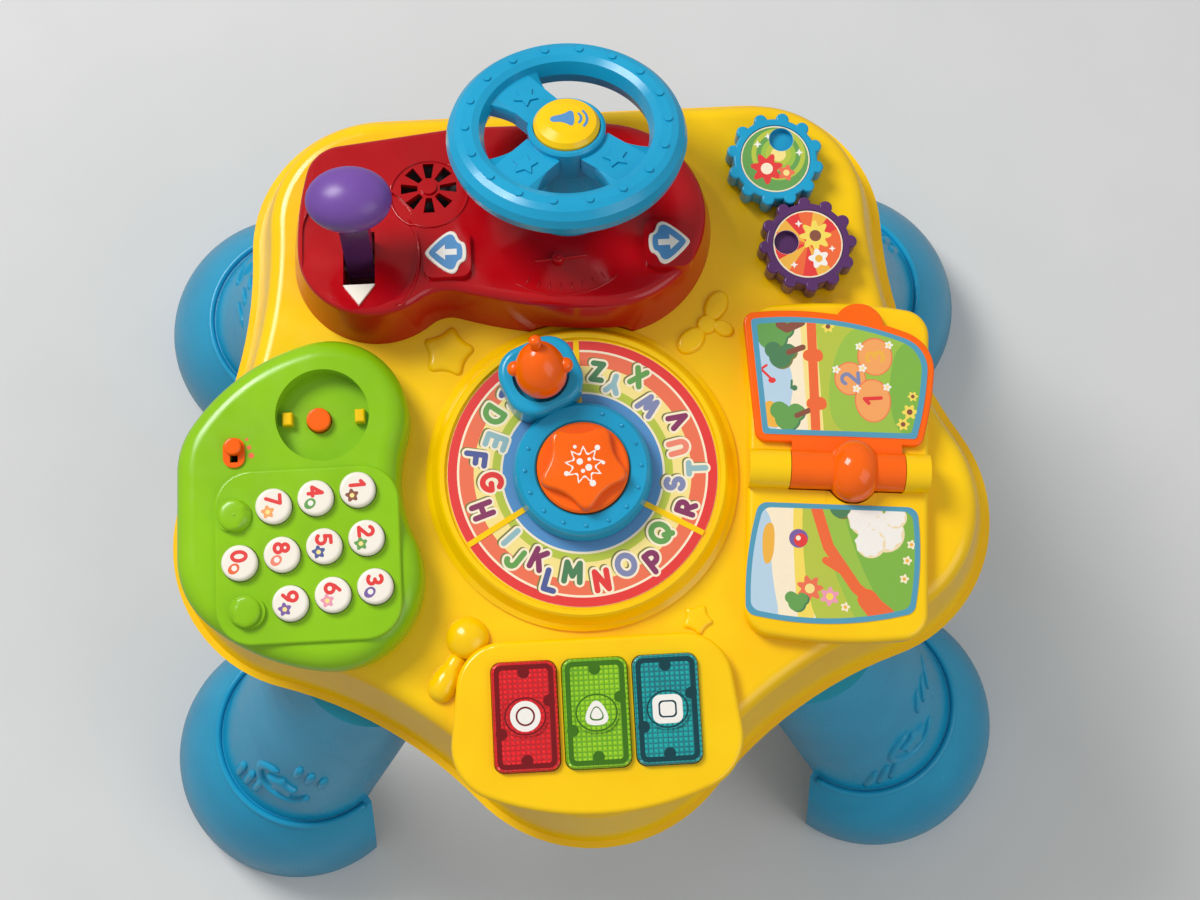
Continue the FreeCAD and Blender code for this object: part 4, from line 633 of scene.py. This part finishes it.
# %% The alphabet on the ring
LETTERS = [
    ("A", 103, 47, "leaf"), ("B", 116, 42, "plum"), ("C", 130, 47, "indigo"),
    ("D", 144, 47.4, "leaf"), ("E", 157.6, 41, "mist"), ("F", 170.2, 48, "indigo"),
    ("G", 183.5, 40.5, "red"), ("H", 198.2, 47.5, "plum"),
    ("I", 219.5, 43, "mist"), ("J", 228.8, 48.5, "leaf"), ("K", 240.5, 43.6, "plum"),
    ("L", 250.9, 50.3, "indigo"), ("M", 261.4, 44.8, "forest"), ("N", 276.9, 48.9, "red"),
    ("O", 291.8, 45.4, "periwinkle"), ("P", 305.4, 50.6, "plum"), ("Q", 318.6, 43.6, "leaf"),
    ("R", 337.9, 48.5, "plum"), ("S", 350.1, 41.1, "periwinkle"), ("T", 359.2, 51, "mist"),
    ("U", 11.9, 44, "coral"), ("V", 26.3, 48.9, "plum"), ("W", 42.9, 42.3, "periwinkle"),
    ("X", 57, 50, "leaf"), ("Y", 68, 42.5, "mist"), ("Z", 78.8, 46.3, "forest"),
]
LARGE_ARC = (95, 325)


def letter_layer(width, ink, shift=(0, 0)):
    """All the letters once, in their own ink or in one ink for a line behind them."""
    shapes = []
    for sign, angle, radius, own in LETTERS:
        high = 8.3 if LARGE_ARC[0] < angle < LARGE_ARC[1] else 7.4
        x, y = polar(angle, radius)
        shapes += written(sign, x + shift[0], y + shift[1], high, angle + 90, width, ink or own)
    return shapes


ring_art = ring_bands[:-1]
for width, ink, shift in ((4.6, "olive", (-0.7, 0.5)), (4.6, "cream", (0, 0)), (2.6, None, (0, 0))):
    ring_art += letter_layer(width, ink, shift)
print_on("letter_ring_print", "table", frame_at(0, 0, sheet_top), ring_art + ring_bands[-1:])
print("letters:", len(LETTERS))

# %% [markdown]
# ## Digits on the telephone keys
#
# Each white key is pad printed in red: a soft silicone pad rolls the ink over the domed top,
# so the digit bends with it. The digits stand with their tops to the right of the deck, and a
# small coloured shape sits beside each one.

# %% Pad printed keys
GRID_TURN = 8.5
BESIDE = {"0": "orange", "1": "brown", "2": "leaf", "3": "violet", "4": "leaf", "5": "indigo",
          "6": "pink", "7": "peach", "8": "coral", "9": "violet"}
OVAL_BESIDE = "0348"


def middle_of(node):
    """The middle of a solid's box, in deck millimetres."""
    low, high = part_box(node)
    return DECK.inverted() @ ((low + high) / 2) / MM


def key_picture(digit):
    """The red digit and the small shape beside it, on one key's own frame."""
    ink = BESIDE[digit]
    if digit in OVAL_BESIDE:
        shapes = [(ink, oval(-2.6, -2.3, 2.7, 2.1, 30)), ("white", oval(-2.3, -2.1, 1.2))]
    else:
        shapes = [(ink, scalloped(-2.6, -2.3, 3, 1.9, 5)), ("butter", oval(-2.6, -2.3, 1))]
    return shapes + written(digit, 0.5, 2.6, 6.0, -96, 1.6, "red")


turn_east, turn_north = polar(GRID_TURN)
for digit in "0123456789":
    node = "key_" + digit
    drawing = frame_at(*middle_of(node), north=(-turn_north, turn_east, 0))
    print_on("key_print_" + digit, node, drawing, key_picture(digit), onto=(node,), finer=2)
print("keys printed")

# %% [markdown]
# ## The picture page and the printed label
#
# The book's two pictures are die-cut labels in shallow trays. A label's outline is the solid's
# own, found as the hull of its top, so the print fits if the page changes. A blue rim runs
# round each, and the scenery inside is cut off at the rim by a window. The pictures are turned
# a quarter, so the ground lies to the right and the sky to the left.

# %% Label helpers


def outline_of(node, drawing):
    """The outline of a flat solid, in a drawing frame."""
    back = drawing.inverted()
    flat = [(p.x, p.y) for p in (back @ v.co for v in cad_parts[node].data.vertices)]
    return [flat[i] for i in convex_hull_2d(flat)]


def drawn_in(points, rim):
    """The same outline made smaller by a rim's width on every side."""
    low, high = ([pick(p[k] for p in points) for k in (0, 1)] for pick in (min, max))
    middle = [(a + b) / 2 for a, b in zip(low, high)]
    share = [1 - 2 * rim / (b - a) for a, b in zip(low, high)]
    return [tuple(middle[k] + (p[k] - middle[k]) * share[k] for k in (0, 1)) for p in points]


def blossom(x, y, size, petals, heart, count=6, turn=0):
    """A flower: petals in one ink and a round heart in another."""
    return [(petals, scalloped(x, y, size, size * 0.62, count, turn)),
            (heart, oval(x, y, size * 0.36))]


def bush(x, y, size, ink, shade):
    """A leafy bush of three rounds over their own shadow."""
    rounds = [oval(dx * size, dy * size, r * size)
              for dx, dy, r in ((0, 0, 1), (0.75, 0.5, 0.7), (-0.6, 0.7, 0.75))]
    return ([(shade, placed(ring, x + 0.8, y - 0.6)) for ring in rounds]
            + [(ink, placed(ring, x, y)) for ring in rounds])


page_frame = frame_at(0, 0, (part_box("page_print")[1].z / MM) - DECK_SPOT.z)
page_shape = outline_of("page_print", page_frame)
print("the page's outline has", len(page_shape), "points")

# %% The picture on the page
COUNTERS = [("3", 133.5, 45, 8.2, 7.4, "gold"), ("2", 121.6, 35.6, 7.2, 6.6, "periwinkle"),
            ("1", 131, 25, 9.4, 7.6, "red")]
FENCE_X = 105.5
scenery = [("border", page_shape), ("cream", block(60, -10, 175, 90)),
           ("sky", soft([(70, 8), (90, 14), (97, 34), (93, 50), (84, 66), (70, 66)])),
           ("gold", soft([(78, 18), (88, 14), (92, 20), (84, 30)])),
           ("butter", block(101, 0, 108, 80)), ("lime", block(108, 0, 170, 80)),
           ("grass", soft([(114, 8), (160, 4), (160, 44), (136, 60), (120, 58), (110, 30)])),
           ("meadow", soft([(140, 8), (160, 4), (160, 50), (144, 52), (138, 30)]))]
scenery += bush(88, 57, 6.6, "leaf", "forest") + bush(91, 47, 5, "forest", "olive")
scenery += line([(101.5, 62.6), (95, 60), (92, 62)], 4, "brown")
scenery += line([(101.5, 51), (95, 49)], 2.6, "brown")
scenery += bush(92, 19, 5.4, "leaf", "forest") + line([(102, 22), (96.5, 20)], 2.4, "brown")
scenery += line([(FENCE_X + 0.6, 64), (FENCE_X - 1.2, 8)], 4.2, "orange")
for knot in (47, 25):
    scenery += [("orange", soft([(FENCE_X - 4.5, knot - 2.5), (FENCE_X + 5, knot - 3.4),
                                 (FENCE_X + 4.4, knot + 3.2), (FENCE_X - 4, knot + 3)], 2))]
scenery += [("red", oval(86.6, 36.6, 1.7, 1.3)), ("forest", oval(96.4, 32.6, 1.3))]
scenery += line([(86, 37.6), (82, 42), (84.6, 43.6)], 1.1, "red")
scenery += line([(95, 32.6), (95.4, 36)], 1, "forest")
for _, x, y, wide, high, _ in COUNTERS:
    scenery += [("salmon", oval(x, y, high + 0.5, wide + 0.5)), ("peach", oval(x, y, high, wide))]
    for side in (-1, 1):
        scenery += blossom(x + side * high * 0.9, y + wide * 0.62, 2, "white", "butter", 5)
for sign, x, y, _, _, ink in COUNTERS:
    scenery += written(sign, x, y, 7.4, 90, 1.7, ink)
for x, y, size in ((147, 19, 3.6), (143.6, 13.6, 3), (149, 26, 2.4), (113.5, 60, 3)):
    scenery += blossom(x, y, size, "sun", "brown")
print_on("page_picture", "page", page_frame, scenery, window=drawn_in(page_shape, 2.6))
print("page picture drawn from", len(scenery), "shapes")

# %% The picture on the label
label_frame = frame_at(0, 0, (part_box("book_print")[1].z / MM) - DECK_SPOT.z)
label_shape = outline_of("book_print", label_frame)
label = [("border", label_shape), ("cream", block(60, -85, 160, -5)),
         ("sky", soft([(60, -80), (84, -78), (80, -44), (84, -20), (60, -10)])),
         ("gold", soft([(78, -28), (84, -26), (82, -44), (77, -46)])),
         ("sun", soft([(92, -10), (100, -10), (102, -48), (96, -80), (90, -80)])),
         ("lime", soft([(95, -8), (112, -8), (116, -50), (134, -84), (96, -84)])),
         ("grass", soft([(101, -8), (160, -8), (160, -84), (120, -84), (106, -44)])),
         ("meadow", soft([(112, -8), (160, -8), (160, -84), (134, -80), (118, -44)]))]
label += bush(113.5, -21.5, 5, "forest", "olive")
label += line([(101, -14), (106.6, -39), (117.6, -58), (131, -70)], 5, "orange")
label += line([(112, -50), (105, -45)], 3.4, "orange")
label += line([(122, -63), (128, -72)], 9, "orange")
for x, y, size in ((124, -27, 8), (132, -34, 8.4), (125, -38, 6.6), (137, -27, 5)):
    label += [("sand", oval(x + 0.5, y - 0.5, size)),
              ("white", scalloped(x, y, size, size * 0.86, 9))]
label += [("violet", oval(93.7, -34.6, 4.2)), ("red", oval(94.6, -35.4, 3)),
          ("cream", oval(93.6, -34.4, 1.1))]
label += blossom(97, -57, 6, "salmon", "butter", 7) + blossom(105.5, -61, 4.4, "pink", "sun", 6, 20)
label += bush(90.6, -63, 3.6, "leaf", "forest")
for x, y in ((141, -47), (139, -55), (143.5, -40), (112, -66)):
    label += blossom(x, y, 2.2, "cream", "gold", 5)
print_on("label_picture", "table", label_frame, label, window=drawn_in(label_shape, 2.4))
print("label picture drawn from", len(label), "shapes")

# %% [markdown]
# ## Prints on the gears
#
# Each gear carries a round label with a hole for the finger dimple. Both labels are generic
# fairground designs in the colours of the real ones: green rings with a red flower, and a
# red and orange sunburst with a yellow one. They turn with the gears.

# %% Gear labels
LABEL_R, RING_R, HOLE_R, HOLE_AT, RAYS = 15.75, 15.2, 5.7, 9.8, 14


def four_point(x, y, size):
    """A small white sparkle."""
    return ("white", star_points(x, y, size, size * 0.4, 4))


ring_label = [("cream", oval(0, 0, LABEL_R)), ("leaf", oval(0, 0, RING_R))]
ring_label += [(ink, oval(1.6, 2.2, radius)) for ink, radius in
               (("lime", 12.4), ("leaf", 10.2), ("grass", 8), ("lime", 5.8), ("butter", 3.4))]
ring_label += blossom(-4.2, -4.4, 7.6, "red", "cream", 7, 12)
ring_label += blossom(4.6, -6.8, 4, "salmon", "butter", 5)
ring_label += [four_point(-7.6, 7.4, 1.9), four_point(-2.6, 11, 1.7), four_point(11.2, 2.6, 1.9)]
burst_label = [("cream", oval(0, 0, LABEL_R))]
for i in range(RAYS):
    fan = [polar(360 * (i + part) / RAYS, RING_R) for part in (0, 0.5, 1)]
    ink = ("orange", "red", "gold")[i % 3] if i < RAYS - 1 else "orange"
    burst_label.append((ink, [(0, 0)] + fan))
burst_label += blossom(3.6, 3.8, 7.4, "sun", "brown", 8)
burst_label += blossom(4.4, -7, 4.8, "white", "gold", 5, 30)
burst_label += [four_point(-3.6, 9.8, 1.8), four_point(-7, -9.4, 1.8), four_point(10.8, -2.6, 1.6)]
for name, art, angle in (("cyan", ring_label, 70), ("purple", burst_label, 172)):
    node = "gear_" + name
    spot = middle_of(node + "_print")
    hole = oval(*polar(angle, HOLE_AT), HOLE_R)
    print_on(node + "_picture", node, frame_at(spot.x, spot.y, spot.z + 0.2), art + [(None, hole)])
print("gear labels printed")

# %% [markdown]
# ## Small prints: signs, star and horn
#
# The two turn signs on the dashboard are cream plates shaped like fat arrowheads, with a blue
# label and a white arrow. The star button carries a white burst and the horn a blue trumpet.
# These are hot-stamped foils, thin and flat, so the same laying of a flat sheet does for them,
# and the horn's is cut fine so that it bends over the dome. The star under the burst is moulded
# with round points, fuller than a cut star, so that it is kind to a small hand.

# %% Signs on the dashboard


def tilted(degrees):
    """The upward direction of a face that slopes down towards the far side."""
    c, s = polar(degrees)
    return (0, s, c)


slope_up = tilted(13.6)
PLATE = [(9.6, 1.4), (9.6, -1.4), (0, -10.6), (-4, -10.6), (-5.6, -5.4), (-8.6, -4.4),
         (-8.6, 4.4), (-5.6, 5.4), (-4, 10.6), (0, 10.6)]
ARROW = [(5, 0), (0.8, 3.9), (0.8, 1.5), (-4.4, 1.5), (-4.4, -1.5), (0.8, -1.5), (0.8, -3.9)]
for side, way in (("left", -1), ("right", 1)):
    node = "turn_sign_" + side
    drawing = frame_at(*middle_of(node), up=slope_up)
    plate = soft([(x * way, y) for x, y in PLATE], 2)
    sign = raised(node + "_plate", "table", drawing, [plate], "cream", (), 0.5, CRISP_EDGE)
    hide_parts(node)
    print_on("turn_print_" + side, "table", drawing,
             [("blue", drawn_in(plate, 1.7)), ("white", [(x * way, y) for x, y in ARROW])],
             lift=0.55)
print("signs printed")

# %% Star and horn
burst = scalloped(0, 0, 8.6, 5.6, 9, 90, 2.4, 6)
star_art = [("white", burst), (None, scalloped(0, 0, 7.4, 4.7, 9, 90, 2.4, 6))]
star_art += [("white", oval(x, y, r)) for x, y, r in
             ((6.2, 7.4, 1.2), (-7.8, -3.4, 1.1), (3.4, -8.2, 1.4), (-3.6, 8.2, 0.8),
              (8.4, 0.6, 0.8), (-1.8, 1.6, 1.4), (2, -1.2, 1.5), (-0.6, -2.6, 0.9),
              (2.4, 2.4, 0.8))]
star_spot = middle_of("star_button")
STAR_FACE, STAR_TOP = 22, 27.2
ROUND_EDGE = ((1, -0.1), (0.995, 0.5), (0.975, 0.8), (0.94, 0.95), (0.88, 1))
star_form = soft(star_points(0, 0, 22.4, 13.8, turn=-88), 3)
raised("star_form", "star", frame_at(star_spot.x, star_spot.y, STAR_FACE), [star_form],
       "orange", (), STAR_TOP - STAR_FACE, ROUND_EDGE)
print_on("star_print", "star", frame_at(star_spot.x + 0.4, star_spot.y, STAR_TOP), star_art)
wheel_up = tilted(22)
bell = soft([(-7, 1.7), (-7, -1.7), (-1.6, -2), (3.4, -5.6), (3.4, 5.6), (-1.6, 2)], 2)
trumpet = [("blue", bell)]
for radius in (3.8, 6.4):
    trumpet += line(bow(2.6, 0, radius, radius, -42, 42), 1.2, "blue")
print_on("horn_print", "horn", frame_at(*middle_of("horn_button"), up=wheel_up), trumpet,
         onto=("horn_button",), finer=2)
print("star and horn printed")

# %% [markdown]
# ## The three light keys
#
# Through the clear top of each key you see the prisms in the middle, a plain darker rim where
# the side wall stands, and dark rounds where guide pins run down. Rim and rounds are a print in
# smooth polycarbonate over the prisms, cut open in the middle. The raised oval carries a white
# shape: a circle, a triangle or a square.

# %% Dress the light keys


def rounded(wide, high, radius, x=0, y=0):
    """A rectangle with round corners."""
    points = []
    for sx, sy, start in ((1, 1, 0), (-1, 1, 90), (-1, -1, 180), (1, -1, 270)):
        points += bow(x + sx * (wide / 2 - radius), y + sy * (high / 2 - radius), radius, radius,
                      start, start + 90, 15)
    return points


KEY_WIDE, KEY_LONG, RIM, WALL, KEY_TOP = 28.4, 47.4, 2.6, 7, 11
PINS = ((0, 19), (0, -19), (10.6, 6.4), (-10.6, -7.2))
MARKS = {"red": oval(0, 0, 6.6), "green": soft([(-7.4, -5.4), (7.4, -5.4), (0, 8.6)], 3),
         "teal": rounded(13, 12.4, 3.4)}
INNER = {"red": oval(0, 0, 3.4), "green": soft([(-3.6, -2.8), (3.6, -2.8), (0, 3.8)], 3),
         "teal": rounded(6.4, 6, 1.6)}
for colour, mark in MARKS.items():
    node = "light_button_" + colour
    inks["rim"] = clear_rims[colour]
    spot = middle_of(node)
    rim = [("rim", rounded(KEY_WIDE - RIM, KEY_LONG - RIM, 3.4)),
           (None, rounded(KEY_WIDE - WALL, KEY_LONG - WALL, 1.6))]
    rim += [("rim", oval(x, y, 2.6)) for x, y in PINS]
    drawing = frame_at(spot.x, spot.y, KEY_TOP)
    print_on("light_rim_" + colour, "light_" + colour, drawing, rim, onto=(node,), finer=1)
    ring = [("rim", oval(0, 0, 9.2, 8.2)), (None, oval(0, 0, 8.5, 7.5)), ("white", mark),
            ("rim", [(x * 1.24, y * 1.24) for x, y in INNER[colour]]), ("white", INNER[colour])]
    print_on("light_mark_" + colour, "light_" + colour, drawing, ring, onto=(node,))
print("light keys dressed")

# %% [markdown]
# ## Raised forms of the moulds
#
# The tool maker cut small pictures into the steel, and they stand up from the plastic: two stars,
# a bow and a rattle on the deck, a dial on the dashboard, studs on the spinner, domes with signs
# for the two blind telephone keys, and webs where the wheel's spokes meet its rim. They have
# soft edges, because a plastic part can't leave a sharp pocket. Most are a low plateau or a
# half-round bead laid on the solid below. The rattle is deeper, so it is turned like the real
# thing and sunk to half its height. A thin skin lines the well that the page's ball drops into.

# %% Pictures on the deck
deck_frame = frame_at(0, 0, 0)
DECK_FORMS = {
    "star": ([soft(star_points(-57.9, 59.6, 13.5, 8.2, turn=78), 3)], 2.0),
    "bow": ([oval(52.6, 59.6, 7.6, 5.2, 40), oval(65, 75.4, 7.6, 5.2, 60), oval(60.2, 66.8, 4.6),
             oval(67.6, 64.6, 5.2, 3.6, -30)], 2.0),
    "small_star": ([soft(star_points(47.4, -67.2, 8, 4.8, turn=60), 3)], 1.6),
}
for name, (outlines, high) in DECK_FORMS.items():
    raised("deck_" + name, "table", deck_frame, outlines, "yellow", ("top_shell",), high)
RATTLE_BALL, RATTLE_GRIP, GRIP_TURN = (-54.4, -70.2), (-64.2, -87.4), 60
GRIP_RINGS = (3.4, 5.2, 6.2, 6.4, 6.5, 6.4, 6.2, 5.6, 4.6, 4.2, 4, 4)
rattle = bmesh.new()
turned(rattle, frame_at(*RATTLE_BALL, 0.5), egg(9.6, 8, 0))
grip = [(0.4, -11)] + [(radius * (1 if i % 2 else 0.93), -10.4 + 1.9 * i)
                       for i, radius in enumerate(GRIP_RINGS)]
turned(rattle, frame_at(*RATTLE_GRIP, 0, up=(*polar(GRIP_TURN), 0), north=(0, 0, 1)), grip)
moulded("deck_rattle", rattle, "table", "yellow")
print("forms on the deck:", len(DECK_FORMS) + 1)

# %% Dial, speaker rim and lever rim on the dashboard
DIAL, DASH = (-4, 16), ("dashboard",)
dash_frame = frame_at(0, 95, 28, up=slope_up)
ticks = [placed([polar(degrees, r) for r in (34, 32, 30)], *DIAL)
         for degrees in range(240, 312, 9)]
arc = bow(*DIAL, 36, 36, 232, 312, 4)
beads("dial_lines", "table", dash_frame, [arc] + ticks, "red", DASH, 0.9, 0.6)
needle = [(-17 + 2.2 * i, -2.4 + 0.2 * i) for i in range(12)]
beads("dial_needle", "table", dash_frame, [needle], "red", DASH, 1.4, 0.9)
raised("dial_ball", "table", dash_frame, [oval(-6.3, -1.6, 2.8)], "red", DASH, 2.6)
speaker_spot = middle_of("speaker")
beads("speaker_rim", "table", frame_at(speaker_spot.x, speaker_spot.y, 30, up=slope_up),
      [bow(0, 0, 17.4, 17.4, 0, 360, 8)], "red", DASH, 1.6, 0.8)
lever_rim = bow(-94.5, 4, 27, 34, -52, 34, 8)
beads("lever_rim", "table", dash_frame, [lever_rim], "red", DASH, 1.8, 0.8)
print("dial and rims drawn")

# %% Studs on the spinner and the well under the page's ball
STUD_R, STUDS, POD_STUDS = 25.6, 16, (4, 5, 6)
studs = [oval(*polar(360 * i / STUDS, STUD_R), 0.9, count=10)
         for i in range(STUDS) if i not in POD_STUDS]
raised("spinner_studs", "spinner", deck_frame, studs, "blue", ("spinner",), 0.7)
BALL_X, BALL_Y, AXLE_Z, BOOK_TOP, BOOK_TURN = 119.9, -6.1, 11.3, 8.95, 5
BALL_ARC, BALL_LEVEL, BARREL_R, ROOM = 11.32, 2.68, 8.6, 0.7
LIP_R, LIP_HALF = 14.5, 11.45
c, s = polar(BOOK_TURN)
along, across = Vector((c, -s, 0)), Vector((s, c, 0))
well, rows = bmesh.new(), []
for i in range(17):
    shift = LIP_HALF * (i / 8 - 1)
    r = max(BALL_LEVEL + math.sqrt(max(BALL_ARC ** 2 - shift ** 2, 0)), BARREL_R) + ROOM
    dip = math.degrees(math.asin((AXLE_Z - BOOK_TOP) / r))
    bowl = bow(0, AXLE_Z, r, r, 180 + dip, 360 - dip, (180 - 2 * dip) / 20)
    rows.append([well.verts.new(DECK @ ((Vector((BALL_X, BALL_Y, z)) + along * shift
                                         + across * y) * MM))
                 for y, z in [(-LIP_R, BOOK_TOP), *bowl, (LIP_R, BOOK_TOP)]])
sew(well, rows, closed=False, ends=())
finish_piece("ball_well", well, "table", [finishes["yellow"]])
print("studs:", len(studs))

# %% Webs where the spokes meet the wheel's rim
WHEEL_SPOT, SPOKE_TURNS = (0, 141.5, 52), (130, 225, 320)
WEB_EDGE = ((0.97, -1.63), (1, -1.3), (1, 0.7), (0.97, 0.97))
side = [(20 + 17.5 * k / 9, 9.3 + 7 * (k / 9) ** 1.8) for k in range(10)]
web = side + [(u, -v) for u, v in reversed(side)]
webs = [placed(web, 0, 0, turn) for turn in SPOKE_TURNS]
raised("wheel_webs", "wheel", frame_at(*WHEEL_SPOT, up=wheel_up), webs, "blue", (), 3, WEB_EDGE)
print("webs:", len(webs))

# %% Signs on the blind telephone keys
DOME_EDGE = ((1, -0.2), (1, 0.5), (0.96, 0.72), (0.88, 0.86), (0.7, 0.96), (0.4, 1))
STAR_SIGN = [[(-2.4, 0), (0, 0), (2.4, 0)], [(-1.2, -2.1), (0, 0), (1.2, 2.1)],
             [(1.2, -2.1), (0, 0), (-1.2, 2.1)]]
HASH_SIGN = [[(-2.4, 0.9), (2.4, 0.9)], [(-2.4, -0.9), (2.4, -0.9)],
             [(-0.9, -2.4), (-0.9, 2.4)], [(0.9, -2.4), (0.9, 2.4)]]
for name, x, y, strokes in (("star", -151.2, -14.3, STAR_SIGN), ("hash", -147.8, -56, HASH_SIGN)):
    place = frame_at(x, y, 22)
    raised("phone_dome_" + name, "table", place, [oval(0, 0, 7)], "green", ("phone_casing",), 2.4,
           DOME_EDGE)
    beads("phone_sign_" + name, "table", place, strokes, "green", ("phone_casing",), 1.7, 3)
print_on("volume_marks", "table", frame_at(-144.8, 15.6, 22),
         [("orange", oval(-1.2 + 0.9 * i, 4 - 3.6 * i, 0.7 + 0.3 * i)) for i in range(3)],
         onto=("phone_casing",))
print("telephone signs done")

# %% [markdown]
# ## Ridges on the legs
#
# Each leg is one hollow moulding with an open back. A round bead stiffens the top edge of its
# flared foot, and shallow stripes and swirls cover the front, so that small scratches don't
# show. The bead is a tube bent on an arc of the foot's own radius.

# %% Leg ridges
LEGS = {"back_right": (1, 1), "back_left": (-1, 1), "front_right": (1, -1), "front_left": (-1, -1)}
LEG_X, LEG_Y, LEG_TURN, FACE_TURN = 170, 128, 32, 62
CUFF_HIGH, CUFF_LEAN, CUFF_R = 88, 20, 51
FACE_OUT, FACE_RISE = 0.908, 0.419


def tube(name, body, points, radius, colour, count=8):
    """A closed-ended round bar along points given in world millimetres, lying level."""
    mesh = bmesh.new()
    rings = []
    for i, point in enumerate(points):
        ahead = points[min(i + 1, len(points) - 1)] - points[max(i - 1, 0)]
        side = Vector((ahead.y, -ahead.x, 0)).normalized()
        rings.append([mesh.verts.new((point + side * u + Vector((0, 0, v))) * MM)
                      for u, v in oval(0, 0, radius, count=count)])
    sew(mesh, rings)
    return moulded(name, mesh, body, colour)


def combed(x, y, lean, rise, drift, count):
    """Three stripes side by side, each of count points."""
    return [[(x + 6.6 * i + lean * k, y + rise * k + drift * i) for k in range(count)]
            for i in range(3)]


ridges = (combed(-25, -32, 1.1, 4.6, 2, 6) + [bow(5, 4, 15, 15, 100, 350, 12)]
          + combed(12, 24, 0.7, 4.2, -2, 5))
leg_star = soft(star_points(5, 4, 11, 6.4), 2)
for name, (sx, sy) in LEGS.items():
    out, front = (Vector((sx * c, sy * s, 0)) for c, s in (polar(LEG_TURN), polar(FACE_TURN)))
    heading = math.degrees(math.atan2(out.y, out.x))
    middle = Vector((sx * LEG_X, sy * LEG_Y, CUFF_HIGH)) - out * CUFF_LEAN
    rim = [middle + Vector((*polar(heading - 94 + 4 * i, CUFF_R - 1), 0)) for i in range(48)]
    tube("leg_bead_" + name, "table", rim, 2, "blue")
    face = middle + front * 34 + Vector((0, 0, 42)) - DECK_SPOT
    drawing = frame_at(*face, (front.x * FACE_OUT, front.y * FACE_OUT, FACE_RISE),
                       (-front.x * FACE_RISE, -front.y * FACE_RISE, FACE_OUT))
    beads("leg_ridges_" + name, "table", drawing, ridges, "blue", ("leg_" + name,), 4.8, 2.2)
    raised("leg_star_" + name, "table", drawing, [leg_star], "blue", ("leg_" + name,), 2.4)
print("legs ridged:", len(LEGS))

# %% [markdown]
# ## The figure in the pod
#
# A plain egg-shaped figure sits in the pod of the spinner, leaning back, with a small tuft and
# two round knobs. Turned shapes come from a profile spun round an axis. The solid is only as
# large as the pod lets it be sure to fit, so this fuller form takes its place.

# %% Spin the figure
POD_LEAN = (-0.1, 0.5, 0.86)
pod_spot = middle_of("pod_figure")
body_frame = frame_at(pod_spot.x, pod_spot.y + 1, pod_spot.z + 1, up=POD_LEAN)
figure = bmesh.new()
turned(figure, body_frame, egg(11.4, 14, 0.14))
turned(figure, body_frame @ Matrix.Translation((0, 0, 12.6)),
       [(2.6, 0), (2.2, 2), (2.8, 4.6), (2.6, 6), (1.2, 7)])
for x in (-11, 11):
    turned(figure, body_frame @ Matrix.Translation((x, 0, 1)), egg(3.4, 3.4, 0))
figure_skin = moulded("figure", figure, "spinner", "orange")
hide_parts("pod_figure")
print("figure spun")

# %% [markdown]
# ## Floor, camera and light
#
# The object stands on a plain floor, pale to the camera but mid-grey to every other ray, so that
# it doesn't wash out the plastic above it. The camera repeats the photograph's own view, from
# above and a little in front. One wide lamp beyond the far left corner gives the soft long
# highlights that moulded plastic needs, a weaker one opposite lifts the shadows, and the pale
# world does the rest. Their levels add up so that a colour comes out as it is written.

# %% Floor
floor_mesh = bmesh.new()
bmesh.ops.create_grid(floor_mesh, x_segments=2, y_segments=2, size=4)
floor_data = bpy.data.meshes.new("floor")
floor_mesh.to_mesh(floor_data)
floor_mesh.free()
floor = bpy.data.objects.new("floor", floor_data)
bpy.context.scene.collection.objects.link(floor)
floor_paint, floor_shader, floor_where = start_material("matt_floor_paint", Roughness=0.85)
pale = blend(floor_paint, noise(floor_paint, floor_where, 60, 3), linear("#dcdcda"),
             linear("#d6d6d5"))
seen = add(floor_paint, "LightPath").outputs["Is Camera Ray"]
feed(floor_shader, Base_Color=blend(floor_paint, seen, linear("#a3a09c"), pale))
floor_data.materials.append(floor_paint)
print("floor painted")

# %% Camera
eye = bpy.data.objects.new("camera", bpy.data.cameras.new("camera"))
eye.data.lens = 55.5
eye.data.sensor_width = 36
eye.data.sensor_fit = "HORIZONTAL"
EYE_SPOT = (-0.0161, -0.1565, 1.1185)
EYE_AXES = ((0.998333, -0.054157, 0.020074), (0.049641, 0.982209, 0.181133),
            (-0.029526, -0.179833, 0.983255))
eye.matrix_world = Matrix.Translation(EYE_SPOT) @ Matrix(EYE_AXES).transposed().to_4x4()
bpy.context.scene.collection.objects.link(eye)
bpy.context.scene.camera = eye
print("lens:", eye.data.lens, "mm")

# %% Lamps


def lamp(name, place, power, size, at=(0, 0, 0.3)):
    """A square soft box that faces a point."""
    light = bpy.data.lights.new(name, "AREA")
    light.energy, light.size = power, size
    thing = bpy.data.objects.new(name, light)
    thing.location = place
    thing.rotation_euler = (Vector(place) - Vector(at)).to_track_quat("Z", "Y").to_euler()
    bpy.context.scene.collection.objects.link(thing)


lamp("key_lamp", (-0.9, 0.9, 1.7), 27, 0.7)
lamp("fill_lamp", (1.2, -0.8, 1.4), 7, 1.2)
world = bpy.data.worlds.new("pale_room")
world.use_nodes = True
world.node_tree.nodes["Background"].inputs["Color"].default_value = linear("#f2f4f6")
world.node_tree.nodes["Background"].inputs["Strength"].default_value = 0.46
bpy.context.scene.world = world
bpy.context.scene.view_settings.view_transform = "Standard"
print("stage set")
